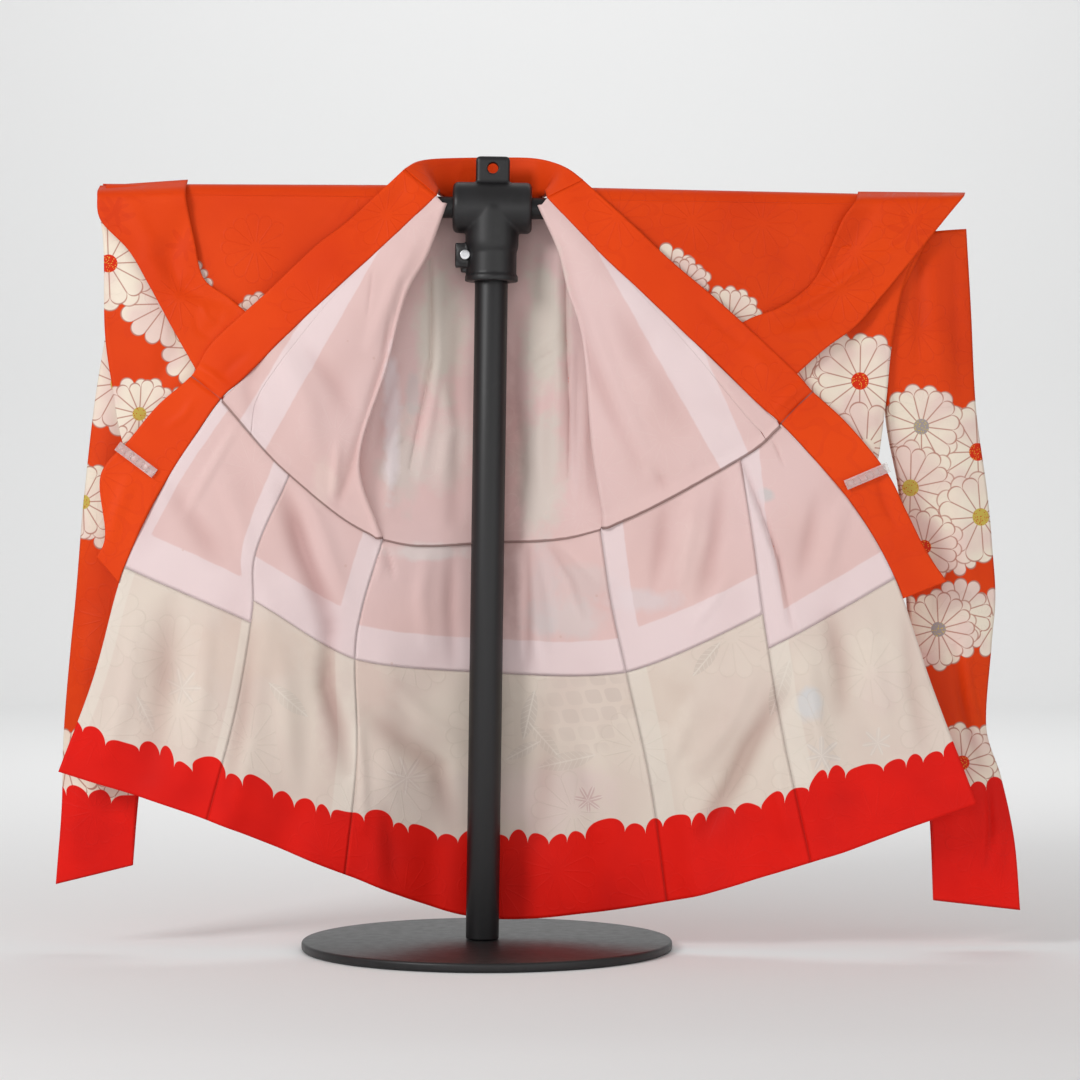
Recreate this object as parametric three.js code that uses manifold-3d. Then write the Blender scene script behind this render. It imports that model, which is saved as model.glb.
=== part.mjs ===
// A lined child's kimono, hung with its fronts turned back and clipped open, on a T-shaped stand.
// Millimetres. +X is to the right seen from the front, +Y points away from the front, +Z is up.
// The origin is on the floor, under the middle of the stand's base.
import * as THREE from 'three';
import { mergeVertices } from 'three/addons/utils/BufferGeometryUtils.js';
import Module from 'manifold-3d';

const wasm = await Module();
wasm.setup();

// Cloth
const CLOTH = 1.0; // one layer of silk, with the air that it holds
const SEAM = 0.3; // between two pieces that are sewn together
const COLLAR_THICK = 2.4; // the collar band is folded double
const COLLAR_TRIM = 0.45; // taken off the thick band's edges, so that it clears what it is sewn to
const SLEEVE_THICK = 1.2;
const FOLD_RADIUS = 3.5; // where a front turns back on itself
const WAIST_LIFT = 3; // how far the fold's lower end stands in front of the tuck line

// Stand
const LEAN = THREE.MathUtils.degToRad(0.8); // the pole leans a little to the right
const POLE_FOOT_X = -4.9;
const POLE_RADIUS = 16.5;
const BAR_RADIUS = 10.75;
const BAR_HEIGHT = 740; // axis, where it crosses the pole
const BAR_LEFT = -382;
const BAR_RIGHT = 460;
const SOCKET_RADIUS = 25.5;
const SOCKET_BOTTOM = 666;
const COUPLING_HALF = 39.5;
const COUPLING_EDGE = 3; // the coupling's ends are turned down this far
const SOCKET_LIP = 6; // height of the collar round the socket's mouth
const TAB = { width: 34, height: 26, depth: 12, root: 10, hole: 5.4, holeDrop: 12 };
const CLAMP = { width: 20, depth: 16, height: 24, out: 5, rise: 26 };
const BOLT = { head: 5, headLength: 4 };
const BASE_RADIUS = 185;
const BASE_THICK = 9;

// Colours and finishes
const finish = (name, color, roughness, metalness = 0) =>
  new THREE.MeshStandardMaterial({ name, color, roughness, metalness });
const OUTER = finish('orange silk', 0xd94000, 0.55);
const BAND = finish('orange collar silk', 0xdb4200, 0.5);
const PINK = finish('pink lining silk', 0xdebebe, 0.6);
const CREAM = finish('cream hem lining silk', 0xded6c8, 0.6);
const BLACK = finish('black painted tube', 0x232124, 0.4);
const STEEL = finish('bolt steel', 0xb8b8b8, 0.3, 1);
const CLEAR = finish('clear clip', 0xf0dcd6, 0.2);

const group = new THREE.Group();
const place = (x, z, y) => new THREE.Vector3(x, y, z);
const mix = (a, b, t) => a.clone().lerp(b, t);
const ramp = (low, high, value) => THREE.MathUtils.smoothstep(value, low, high);
const barHeight = (x) => BAR_HEIGHT - (x - poleX(BAR_HEIGHT)) * Math.tan(LEAN);

function poleX(z) {
  return POLE_FOOT_X + z * Math.tan(LEAN);
}

// A smooth curve through points, read at a row number that may lie between two rows
function along(points, at) {
  const last = points.length - 1;
  const row = THREE.MathUtils.clamp(at, 0, last);
  const i = Math.min(Math.floor(row), last - 1);
  const [a, b] = [points[i], points[i + 1]];
  const before = i > 0 ? points[i - 1] : a.clone().multiplyScalar(2).sub(b);
  const after = i + 2 <= last ? points[i + 2] : b.clone().multiplyScalar(2).sub(a);
  const t = row - i;
  const slopeA = b.clone().sub(before).multiplyScalar(0.5);
  const slopeB = after.clone().sub(a).multiplyScalar(0.5);
  return new THREE.Vector3()
    .addScaledVector(a, 2 * t ** 3 - 3 * t ** 2 + 1)
    .addScaledVector(slopeA, t ** 3 - 2 * t ** 2 + t)
    .addScaledVector(b, 3 * t ** 2 - 2 * t ** 3)
    .addScaledVector(slopeB, t ** 3 - t ** 2);
}

function solid(name, material, positions, faces) {
  const geometry = new THREE.BufferGeometry();
  const numbers = positions.flatMap((p) => [p.x, p.y, p.z]);
  geometry.setAttribute('position', new THREE.Float32BufferAttribute(numbers, 3));
  let volume = 0;
  for (const [a, b, c] of faces) {
    volume += positions[a].dot(positions[b].clone().cross(positions[c]));
  }
  const outward = volume > 0 ? faces : faces.map(([a, b, c]) => [a, c, b]);
  geometry.setIndex(outward.flat());
  geometry.computeVertexNormals();
  const mesh = new THREE.Mesh(geometry, material);
  mesh.name = name;
  group.add(mesh);
  return mesh;
}

// A closed wall between two grids of points, front(i, j) and back(i, j)
function wallBetween(name, material, across, down, front, back) {
  const points = [];
  for (const side of [front, back]) {
    for (let j = 0; j <= down; j += 1) {
      for (let i = 0; i <= across; i += 1) {
        points.push(side(i, j));
      }
    }
  }
  const row = across + 1;
  const layer = row * (down + 1);
  const faces = [];
  const quad = (a, b, c, d) => faces.push([a, b, c], [a, c, d]);
  for (let j = 0; j < down; j += 1) {
    for (let i = 0; i < across; i += 1) {
      const k = j * row + i;
      quad(k, k + 1, k + 1 + row, k + row);
      quad(layer + k, layer + k + row, layer + k + 1 + row, layer + k + 1);
    }
    const left = j * row;
    const right = left + across;
    quad(left, left + row, layer + left + row, layer + left);
    quad(right + row, right, layer + right, layer + right + row);
  }
  for (let i = 0; i < across; i += 1) {
    const foot = down * row + i;
    quad(i + 1, i, layer + i, layer + i + 1);
    quad(foot, foot + 1, layer + foot + 1, layer + foot);
  }
  return solid(name, material, points, faces);
}

// A cloth wall on surface(u, v), u across and v down, from offset near to offset far on its back
function cloth(name, material, { across, down, surface, near, far, trim = SEAM / 2 }) {
  const small = 1e-3;
  const offsetAt = (offset, u, v) => (typeof offset === 'function' ? offset(u, v) : offset);
  const clamp = (value) => THREE.MathUtils.clamp(value, 0, 1);
  const grid = [];
  for (let j = 0; j <= down; j += 1) {
    for (let i = 0; i <= across; i += 1) {
      const u = i / across;
      const v = j / down;
      const alongU = surface(clamp(u + small), v).sub(surface(clamp(u - small), v));
      const alongV = surface(u, clamp(v + small)).sub(surface(u, clamp(v - small)));
      const normal = alongU.cross(alongV).normalize();
      grid.push({ point: surface(u, v), normal, u, v });
    }
  }
  const at = (i, j) => grid[j * (across + 1) + i];
  const inward = (i, j) => {
    const shift = new THREE.Vector3();
    const here = at(i, j).point;
    const pull = (other) => shift.add(other.point.clone().sub(here).setLength(trim));
    if (i === 0) pull(at(1, j));
    if (i === across) pull(at(across - 1, j));
    if (j === 0) pull(at(i, 1));
    if (j === down) pull(at(i, down - 1));
    return here.clone().add(shift);
  };
  const side = (offset) => (i, j) => {
    const { normal, u, v } = at(i, j);
    return inward(i, j).addScaledVector(normal, offsetAt(offset, u, v));
  };
  return wallBetween(name, material, across, down, side(near), side(far));
}

const OUTSIDE = { near: SEAM / 2, far: SEAM / 2 + CLOTH };
const LINING = { near: -SEAM / 2 - CLOTH, far: -SEAM / 2 };

// Below the waist tuck: the whole skirt is one surface through seams and levels.
// Columns are the seams from the left overlap's free edge, by the back seam, to the right one's.
const SEAMS = ['leftEdge', 'leftOverlap', 'leftSide', 'centre', 'rightSide', 'rightOverlap', 'rightEdge'];
const LEVELS = [
  { level: 'tuck', x: [-262, -194, -103, 3, 113, 251, 291], z: [548, 474, 410, 408, 420, 491, 523],
    y: [-34, -30, -9, 25, -9, -30, -34] },
  { level: 'hip', x: [-314, -228, -124, 2, 124, 264, 356], z: [470, 395, 340, 340, 345, 408, 450],
    y: [-37, -33, -10, 27, -10, -33, -38] },
  { level: 'cream seam', x: [-357, -231, -131, 1, 139, 276, 403], z: [381, 335, 289, 274, 276, 318, 370],
    y: [-42, -38, -12, 29, -12, -37, -44] },
  { level: 'thigh', x: [-386, -248, -129, 0, 163, 293, 440], z: [275, 235, 190, 150, 165, 215, 262],
    y: [-46, -42, -14, 31, -12, -42, -48] },
  { level: 'hem', x: [-421, -275, -141, -1, 179, 320, 483], z: [180, 132, 75, 26, 48, 90, 148],
    y: [-50, -44, -14, 33, -12, -44, -52] },
];
const HEM = LEVELS.length - 1;

// Soft upright folds of the skirt, deepest at the hem; seam places them, width is in seams
const SKIRT_FOLDS = [
  { seam: 0.45, width: 0.16, depth: 5, top: 1.6 },
  { seam: 1.12, width: 0.12, depth: -6, top: 0.8 },
  { seam: 1.55, width: 0.16, depth: 5, top: 1.2 },
  { seam: 2.25, width: 0.12, depth: -5, top: 0.6 },
  { seam: 2.62, width: 0.13, depth: 5, top: 1.6 },
  { seam: 3.5, width: 0.14, depth: 6, top: 1.4 },
  { seam: 4.2, width: 0.12, depth: -6, top: 0.7 },
  { seam: 4.62, width: 0.15, depth: 5, top: 1.8 },
  { seam: 5.2, width: 0.12, depth: -6, top: 0.9 },
  { seam: 5.6, width: 0.15, depth: 5, top: 1.5 },
];
const levelPoints = LEVELS.map(({ x, z, y }) => SEAMS.map((_, i) => place(x[i], z[i], y[i])));

function skirt(seam, level) {
  const point = along(levelPoints.map((row) => along(row, seam)), level);
  for (const fold of SKIRT_FOLDS) {
    const shape = Math.exp(-(((seam - fold.seam) / fold.width) ** 2));
    point.y += fold.depth * shape * ramp(fold.top, HEM, level);
  }
  return point;
}

// Where the upper lining gives way to the hem lining, as a level, on each panel's two edges
const PANELS = [
  { name: 'overlap_left', from: 0, to: 1, seamLevels: [2.0, 2.11] },
  { name: 'front_left', from: 1, to: 2, seamLevels: [1.82, 2.0] },
  { name: 'back_left', from: 2, to: 3, seamLevels: [2.0, 2.0] },
  { name: 'back_right', from: 3, to: 4, seamLevels: [2.0, 2.0] },
  { name: 'front_right', from: 4, to: 5, seamLevels: [2.0, 1.82] },
  { name: 'overlap_right', from: 5, to: 6, seamLevels: [2.18, 2.0] },
];

const PANEL_TRIM = 0.35; // taken off each edge, where the seams bend
const PANEL_COLUMNS = 5;
const LINING_LEVELS = [0, 0.5, 1, 1.5];
const HEM_LEVELS = [2.4, 2.8, 3.2, 3.6, HEM];

// A piece of one panel between two of its rows; the linings' and the outer cloth's rows are the same
function panelPatch({ from, to, seamLevels }, firstRow, lastRow) {
  return (u, v) => {
    const creamSeam = THREE.MathUtils.lerp(seamLevels[0], seamLevels[1], u);
    const levels = [...LINING_LEVELS, creamSeam, ...HEM_LEVELS];
    const row = THREE.MathUtils.lerp(firstRow, lastRow, v);
    const above = Math.min(Math.floor(row), levels.length - 2);
    return skirt(
      THREE.MathUtils.lerp(from, to, u),
      THREE.MathUtils.lerp(levels[above], levels[above + 1], row - above));
  };
}

const SEAM_ROW = LINING_LEVELS.length;
const HEM_ROW = SEAM_ROW + HEM_LEVELS.length;
for (const panel of PANELS) {
  const piece = (suffix, material, first, last, layer) => cloth(`${panel.name}${suffix}`, material, {
    across: PANEL_COLUMNS,
    down: last - first,
    surface: panelPatch(panel, first, last),
    trim: PANEL_TRIM,
    ...layer,
  });
  piece('_lower', OUTER, 0, HEM_ROW, OUTSIDE);
  piece('_lining_lower', PINK, 0, SEAM_ROW, LINING);
  piece('_lining_hem', CREAM, SEAM_ROW, HEM_ROW, LINING);
}

// Waist tuck: a fold of the outer cloth that hangs outside the skirt, open at its top
const TUCK_FOOT = [1.4, 1.7, 2.0, 1.95, 2.0, 1.7, 1.4].map((level) => place(level, 0, 0));
const TUCK_TOP = 0.03;
const TUCK_LIFT = 1.2; // the tuck hangs this far off the skirt
const TUCK_CENTRE = SEAM + 2 * CLOTH + TUCK_LIFT; // offset of the middle of the folded cloth
const TUCK_RUN = 3;
const TUCK_TURN = 4;

function waistTuck(name, from, to, across) {
  const down = 2 * TUCK_RUN + TUCK_TURN;
  const half = SEAM / 2;
  const side = (radius) => (i, j) => {
    const inset = (i === 0 ? 1 : 0) - (i === across ? 1 : 0);
    const seam = THREE.MathUtils.lerp(from, to, i / across) + inset * 0.003;
    const foot = along(TUCK_FOOT, seam).x;
    const turn = THREE.MathUtils.clamp((j - TUCK_RUN) / TUCK_TURN, 0, 1) * Math.PI;
    const run = j <= TUCK_RUN ? j / TUCK_RUN : Math.min((down - j) / TUCK_RUN, 1);
    const levelMm = skirt(seam, foot).distanceTo(skirt(seam, foot - 1));
    const level = THREE.MathUtils.lerp(TUCK_TOP, foot, run) + (radius * Math.sin(turn)) / levelMm;
    const step = 1e-3;
    const alongU = skirt(seam + step, level).sub(skirt(seam - step, level));
    const alongV = skirt(seam, level + step).sub(skirt(seam, level - step));
    const normal = alongU.cross(alongV).normalize();
    return skirt(seam, level).addScaledVector(normal, TUCK_CENTRE + radius * Math.cos(turn));
  };
  wallBetween(name, OUTER, across, down, side(half), side(half + CLOTH));
}
waistTuck('waist_tuck_left', 0, 1.84, 8);
waistTuck('waist_tuck_back', 2, 4, 10);
waistTuck('waist_tuck_right', 4.16, 6, 8);

// The outer cloth swells out to the tuck's outer layer just above the tuck line
const swell = (v) => TUCK_CENTRE * ramp(0.84, 1, v);
const TO_TUCK = {
  near: (u, v) => OUTSIDE.near + swell(v),
  far: (u, v) => OUTSIDE.far + swell(v),
};

// Upper back, between the two side seams: rows from the shoulders to the tuck
const BACK_ROWS = [
  { x: [-197, -125, -68, -36, 5, 46, 78, 135, 210], z: [0, 0, 0, 3, 6, 3, 0, 0, 0],
    y: [12.4, 12.4, 16, 30, 35, 30, 16, 12.4, 12.4] },
  { x: [-196, -128, -72, -36, 5, 44, 80, 138, 208], z: [-55, -55, -55, -55, -55, -55, -55, -55, -55],
    y: [10, 12, 18, 29, 33, 29, 18, 12, 10] },
  { x: [-195, -132, -76, -36, 4, 42, 82, 140, 205], z: [-102, -103, -104, -105, -106, -105, -104, -103, -102],
    y: [7, 11, 18, 26, 31, 26, 18, 11, 7] },
  { x: [-172, -124, -76, -36, 3, 40, 80, 132, 180], z: [-165, -170, -175, -180, -182, -180, -175, -170, -165],
    y: [3, 11, 19, 26, 29, 26, 19, 11, 3] },
  { x: [-144, -112, -72, -34, 3, 38, 77, 116, 150], z: [-253, -256, -260, -262, -264, -262, -258, -252, -248],
    y: [2, 10, 18, 25, 27, 25, 18, 10, 2] },
];
const backSeams = BACK_ROWS[0].x.length - 1;
const BACK_DROP = 0.4; // the back's top edge, below the bar's axis
const backRows = BACK_ROWS.map(
  ({ x, z, y }) => x.map((value, i) => place(value, barHeight(value) - BACK_DROP + z[i], y[i])));
backRows.push(BACK_ROWS[0].x.map((_, i) => skirt(2 + (2 * i) / backSeams, 0)));

function upperBack(from, to) {
  return (u, v) => {
    const seam = THREE.MathUtils.lerp(from, to, u) * backSeams;
    return along(backRows.map((row) => along(row, seam)), v * (backRows.length - 1));
  };
}
const BACK_HALVES = [
  { name: 'back_left', from: 0, to: 0.5 },
  { name: 'back_right', from: 0.5, to: 1 },
];
for (const { name, from, to } of BACK_HALVES) {
  const surface = upperBack(from, to);
  cloth(`${name}_upper`, OUTER, { across: 6, down: 10, surface, ...TO_TUCK });
  cloth(`${name}_lining_upper`, PINK, { across: 6, down: 10, surface, ...LINING });
}

// Each front hangs from the shoulder, turns back along a fold and lies open to the collar.
// Columns: the collar seam, the fold's visible edge and the armhole or side seam behind it.
const FRONT_LEFT = {
  turnTo: 1,
  collar: [[-50, 750, -17], [-103, 699, -24], [-137, 668, -27], [-184, 624, -30], [-239, 569, -33]],
  fold: [[-39, 743, -17], [-58, 692, -20], [-80, 650, -20], [-99, 579, -18], [-126, 487, -15]],
  side: [[-197, 745.5, -12.3], [-196, 690, -12.6], [-195, 640, -12], [-172, 575, -6], [-134, 487, -8]],
  waistSeam: 1.88,
  collarSeam: 0,
  overlap: { start: 0.3, share: 0.23 },
};
const FRONT_RIGHT = {
  turnTo: -1,
  collar: [[60, 748, -17], [111, 694, -24], [150, 657, -27], [200, 609, -30], [266, 545, -33]],
  fold: [[50, 741, -17], [70, 696, -20], [80, 656, -20], [95, 605, -18], [104, 500, -15]],
  side: [[210, 739.8, -12.3], [209, 690, -12.6], [206, 640, -12], [180, 575, -6], [138, 492, -8]],
  waistSeam: 4.12,
  collarSeam: 6,
  overlap: { start: 0.28, share: 0.25 },
};

function frontSurfaces(front) {
  const { turnTo, waistSeam, collarSeam } = front;
  const reach = FOLD_RADIUS + SEAM / 2 + CLOTH;
  const waist = skirt(waistSeam, 0);
  const collar = front.collar.map((p) => place(...p));
  collar.push(skirt(collarSeam, 0));
  const axis = front.fold.map(([x, z, y]) => place(x - turnTo * reach, z, y));
  axis.push(waist.clone().add(new THREE.Vector3(0, FOLD_RADIUS - WAIST_LIFT, 0)));
  const side = front.side.map((p) => place(...p));
  side.push(axis[axis.length - 1].clone().add(new THREE.Vector3(-turnTo * 9, FOLD_RADIUS - 1, 3)));
  const rows = collar.length - 1;
  const foldAt = (v, angle) => {
    const turned = along(axis, v * rows);
    turned.x += turnTo * FOLD_RADIUS * Math.sin(angle);
    turned.y -= FOLD_RADIUS * Math.cos(angle);
    return turned;
  };
  // q is 0 on the collar seam and 1 on the fold
  const open = (q, v) => {
    const straight = mix(along(collar, v * rows), foldAt(v, 0), q);
    const bottom = mix(skirt(collarSeam, 0), foldAt(1, 0), q);
    const tuckLine = skirt(THREE.MathUtils.lerp(collarSeam, waistSeam, q), 0);
    straight.addScaledVector(tuckLine.sub(bottom), v ** 3 * (1 - q ** 6));
    straight.y -= 4 * Math.sin(Math.PI * q) * Math.sin(Math.PI * v);
    return straight;
  };
  const under = (q, v) => mix(foldAt(v, Math.PI), along(side, v * rows), q);
  return { collar, rows, foldAt, open, under };
}

// overlap.share is how far from the collar seam the overlap strip reaches at the waist, as a part of
// the turned-back front's width; overlap.start is the row, from 0 at the neck to 1, where it begins.
function frontPieces(name, front) {
  const { open, under, foldAt } = frontSurfaces(front);
  const { start, share } = front.overlap;
  const stripEdge = (v) => share * Math.max(0, (v - start) / (1 - start));
  const flip = front.turnTo < 0;
  const order = (surface) => (u, v) => surface(flip ? 1 - u : u, v);
  // Along the sheet: 0 at the overlap seam, 1 at the fold, 2 past the turn, 3 at the side seam
  const sheet = (s, v) => {
    if (s <= 1) return open(THREE.MathUtils.lerp(stripEdge(v), 1, s), v);
    if (s <= 2) return foldAt(v, (s - 1) * Math.PI);
    return under(s - 2, v);
  };
  const stops = [0, 0.25, 0.5, 0.75, 1, 1.25, 1.5, 1.75, 2, 2.33, 2.66, 3];
  const byStops = (list) => (u, v) => {
    const at = u * (list.length - 1);
    const i = Math.min(Math.floor(at), list.length - 2);
    return sheet(THREE.MathUtils.lerp(list[i], list[i + 1], at - i), v);
  };
  const lined = stops.slice(0, 10);
  cloth(`${name}_upper`, OUTER, {
    across: stops.length - 1, down: 10, surface: order(byStops(stops)),
    near: OUTSIDE.near,
    far: OUTSIDE.far,
  });
  cloth(`${name}_lining_upper`, PINK, {
    across: lined.length - 1, down: 10, surface: order(byStops(lined)), ...LINING,
  });
  const first = start + 0.12;
  const strip = (u, v) => {
    const row = THREE.MathUtils.lerp(first, 1, v);
    return open(stripEdge(row) * u, row);
  };
  const panel = name.replace('front', 'overlap');
  cloth(`${panel}_upper`, OUTER, { across: 2, down: 6, surface: order(strip), ...OUTSIDE });
  cloth(`${panel}_lining_upper`, PINK, { across: 2, down: 6, surface: order(strip), ...LINING });
}
frontPieces('front_left', FRONT_LEFT);
frontPieces('front_right', FRONT_RIGHT);

// Collar band: inner edge on the fronts' seam, outer edge from this table, neck end first.
// level is the skirt level of the rows below the tuck.
const COLLAR_LEFT = {
  out: [[-82, 777, -15], [-136, 726, -22], [-170, 699, -25], [-216, 655, -28], [-271, 604, -30],
    [-291, 572, -31],
    [-325, 541, -34], [-352, 508, -36], [-381, 472, -38], [-376, 414, -40], [-384, 391, -42]],
  level: [0.5, 1, 1.5, 2, 2.15],
};
const COLLAR_RIGHT = {
  out: [[96, 766, -15], [146, 720, -22], [184, 684, -25], [233, 642, -28], [300, 580, -30], [323, 555, -31],
    [357, 523, -34.5], [395, 476, -37], [414, 437, -39], [434, 397, -42], [454, 367, -44]],
  level: [0.5, 1, 1.5, 2, 2.2],
};

function collarBand(name, front, band) {
  const below = band.level.map((level) => skirt(front.collarSeam, level));
  const inner = [...frontSurfaces(front).collar, ...below];
  const outer = band.out.map((p) => place(...p));
  const flip = front.turnTo < 0;
  const surface = (u, v) => {
    const row = v * (outer.length - 1);
    return mix(along(outer, row), along(inner, row), flip ? 1 - u : u);
  };
  cloth(name, BAND, {
    across: 3, down: 20, surface, near: -COLLAR_THICK / 2, far: COLLAR_THICK / 2, trim: COLLAR_TRIM,
  });
}
collarBand('collar_left', FRONT_LEFT, COLLAR_LEFT);
collarBand('collar_right', FRONT_RIGHT, COLLAR_RIGHT);

// Round the back of the neck, behind the stand's coupling, left to right
const NECK = {
  inner: [[-50, 750, -17], [-48, 757, -4], [-47, 754, 13], [-31, 750, 29], [5, 748, 36],
    [42, 749, 29], [58, 753, 13],
    [58, 756, -4], [60, 748, -17]],
  outer: [[-82, 777, -15], [-68, 786, -4], [-54, 790, 11], [-33, 792, 26], [6, 794, 35],
    [45, 792, 26], [66, 787, 11],
    [84, 778, -4], [96, 766, -15]],
};
cloth('collar_neck', BAND, {
  across: 16, down: 3, near: -COLLAR_THICK / 2, far: COLLAR_THICK / 2, trim: 2 * COLLAR_TRIM,
  surface: (u, v) => {
    const row = u * (NECK.inner.length - 1);
    const edges = [NECK.outer, NECK.inner].map((edge) => along(edge.map((p) => place(...p)), row));
    return mix(...edges, v);
  },
});

// The body cloth passes over the bar at each shoulder
const SHOULDER_INNER = BAR_RADIUS + 0.4;
const SHOULDER_OUTER = SHOULDER_INNER + 2 * CLOTH + SEAM;
const SHOULDER_ARC = THREE.MathUtils.degToRad(68);

function aroundBar(x, angle, radius) {
  return place(x, barHeight(x) + radius * Math.cos(angle), radius * Math.sin(angle));
}

function shoulder(name, fromX, toX) {
  const across = 5;
  const round = 8;
  const side = (radius) => (i, j) => aroundBar(
    THREE.MathUtils.lerp(fromX, toX, i / across),
    THREE.MathUtils.lerp(-SHOULDER_ARC, SHOULDER_ARC, j / round),
    radius);
  wallBetween(name, OUTER, across, round, side(SHOULDER_INNER), side(SHOULDER_OUTER));
}
const [ARMHOLE_LEFT] = FRONT_LEFT.side[0];
const [ARMHOLE_RIGHT] = FRONT_RIGHT.side[0];
shoulder('shoulder_left', ARMHOLE_LEFT + SEAM / 2, -60);
shoulder('shoulder_right', 74, ARMHOLE_RIGHT - SEAM / 2);

// Sleeves. Each sheet has rows of its outer edge (towards the cuff) and its inner edge: x, z, y.
// In yoke and back, z is the height from the bar's axis. A bag's depth is half its fullness at each row.
const SLEEVES = [
  {
    name: 'sleeve_left', turn: 1,
    yoke: {
      outer: [[-380, 0, 0], [-378, -50, -13], [-374, -110, -13.5]],
      inner: [[-198, 0, 0], [-198, -50, -12.6], [-215, -100, -13]],
    },
    flap: {
      outer: [[-387, 762, 0], [-387, 750, -16.5], [-368, 723, -19], [-335, 661, -21],
        [-311, 617, -23], [-280, 563, -25.5]],
      inner: [[-299, 768, 0], [-299, 752, -17], [-293, 715, -17], [-281, 668, -17], [-255, 648, -20],
        [-228, 625, -24]],
    },
    cuff: {
      outer: [[-386, 736, -16], [-381, 700, -16], [-380, 617, -16.5], [-372, 560, -20],
        [-363, 516, -32.4], [-352, 480, -34]],
      inner: [[-330, 736, -16], [-300, 690, -16], [-275, 610, -17.5], [-275, 570, -21],
        [-318, 522, -31], [-336, 496, -33.4]],
    },
    bag: {
      outer: [[-380, 620, 0], [-392, 545, 0], [-402, 455, 0], [-410, 361, 0], [-416, 300, 0], [-423, 216, 0],
        [-425, 141, 0], [-431, 64, 0]],
      inner: [[-330, 632, 0], [-326, 555, 0], [-325, 460, 0], [-328, 360, 0], [-334, 300, 0], [-342, 216, 0],
        [-350, 141, 0], [-354, 83, 0]],
      depth: [5, 9, 10, 10, 10, 9, 7, 1.2],
    },
    back: {
      outer: [[-384, 0, 0], [-384, -60, 11], [-382, -112, 6]],
      inner: [[-198, 0, 0], [-198, -60, 12], [-222, -122, 11]],
    },
  },
  {
    name: 'sleeve_right', turn: -1,
    yoke: {
      outer: [[466, 0, 0], [425, -55, -13], [385, -135, -13.5]],
      inner: [[211, 0, 0], [211, -55, -12.6], [235, -125, -13]],
    },
    flap: {
      outer: [[478, 754, 0], [471, 744, -15.5], [457, 722, -18], [426, 685, -20], [392, 645, -21.5],
        [366, 621, -22.5],
        [335, 597, -24], [294, 560, -26]],
      inner: [[371, 756, 0], [366, 744, -16.5], [353, 725, -17], [338, 690, -17], [322, 662, -18],
        [293, 640, -19],
        [262, 628, -21], [236, 613, -24.5]],
    },
    cuff: {
      outer: [[440, 712, -15.8], [417, 670, -16], [403, 602, -16.5], [397, 546, -19],
        [388, 490, -33.3], [380, 470, -34.6]],
      inner: [[350, 700, -15.8], [330, 655, -16], [305, 600, -17.5], [312, 560, -21],
        [350, 508, -31.6], [364, 490, -33.4]],
    },
    bag: {
      outer: [[479, 719, 0], [484, 630, 0], [489, 536, 0], [500, 455, 0], [505, 400, 0],
        [508, 350, 0], [504, 300, 0],
        [499, 222, 0], [514, 170, 0], [527, 108, 0], [533, 38, 0]],
      inner: [[405, 712, 0], [400, 640, 0], [399, 536, 0], [412, 460, 0], [416, 400, 0],
        [420, 350, 0], [424, 300, 0],
        [432, 225, 0], [440, 170, 0], [444, 120, 0], [446, 48, 0]],
      depth: [8, 9, 10, 10, 10, 10, 10, 9, 9, 7, 1.2],
    },
    back: {
      outer: [[474, 0, 0], [477, -12, 11.8], [420, -60, 11]],
      inner: [[211, 0, 0], [211, -45, 12.2], [215, -110, 11]],
    },
  },
];

function sheetPoints(rows) {
  return rows.map((p) => place(...p));
}

// Rows that leave the top of the bar round its front (way -1) or back, then hang from its axis
const RIDGE_ANGLES = [3, 24, 45, 66, 87].map(THREE.MathUtils.degToRad);
const SLEEVE_RADIUS = SHOULDER_INNER + SLEEVE_THICK / 2 + 0.1;

function hungRows(rows, way) {
  const [first, ...rest] = rows;
  const ridge = RIDGE_ANGLES.map((angle) => aroundBar(first[0], way * angle, SLEEVE_RADIUS));
  return [...ridge, ...rest.map(([x, drop, y]) => place(x, barHeight(x) + drop, y))];
}

function ruled(outer, inner, turn) {
  return (u, v) => {
    const row = v * (outer.length - 1);
    return mix(along(outer, row), along(inner, row), turn > 0 ? u : 1 - u);
  };
}

const HALF = { near: -SLEEVE_THICK / 2, far: SLEEVE_THICK / 2 };

function sleevePieces({ name, turn, yoke, flap, cuff, bag, back }) {
  const sheet = (suffix, outer, inner, across, down) => {
    cloth(`${name}_${suffix}`, OUTER, { across, down, surface: ruled(outer, inner, turn), ...HALF });
  };
  sheet('yoke', hungRows(yoke.outer, -1), hungRows(yoke.inner, -1), 4, 6);
  sheet('flap', sheetPoints(flap.outer), sheetPoints(flap.inner), 6, 10);
  sheet('cuff', sheetPoints(cuff.outer), sheetPoints(cuff.inner), 5, 8);
  sheet('back', hungRows(back.outer, 1), hungRows(back.inner, 1), 4, 6);
  const bagOuter = sheetPoints(bag.outer);
  const bagInner = sheetPoints(bag.inner);
  const depths = bag.depth.map((depth) => place(depth, 0, 0));
  const bagWall = (way) => (u, v) => {
    const row = v * (bagOuter.length - 1);
    const fromOuter = turn > 0 ? u : 1 - u;
    const point = mix(along(bagOuter, row), along(bagInner, row), fromOuter);
    const swelled = Math.sin((Math.PI / 2) * Math.min(1, fromOuter * 2.2));
    point.y += way * (SEAM / 2 + SLEEVE_THICK / 2 + along(depths, row).x * swelled);
    return point;
  };
  cloth(`${name}_bag_front`, OUTER, { across: 6, down: 14, surface: bagWall(-1), ...HALF });
  cloth(`${name}_bag_back`, OUTER, { across: 6, down: 14, surface: bagWall(1), ...HALF });
}
SLEEVES.forEach(sleevePieces);

// Clips that hold each turned-back front to its sleeve: a bent strip, closed past the collar's edge
const CLIP = { width: 10, length: 40, mouth: 7.6, wall: 1.6 };

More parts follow.
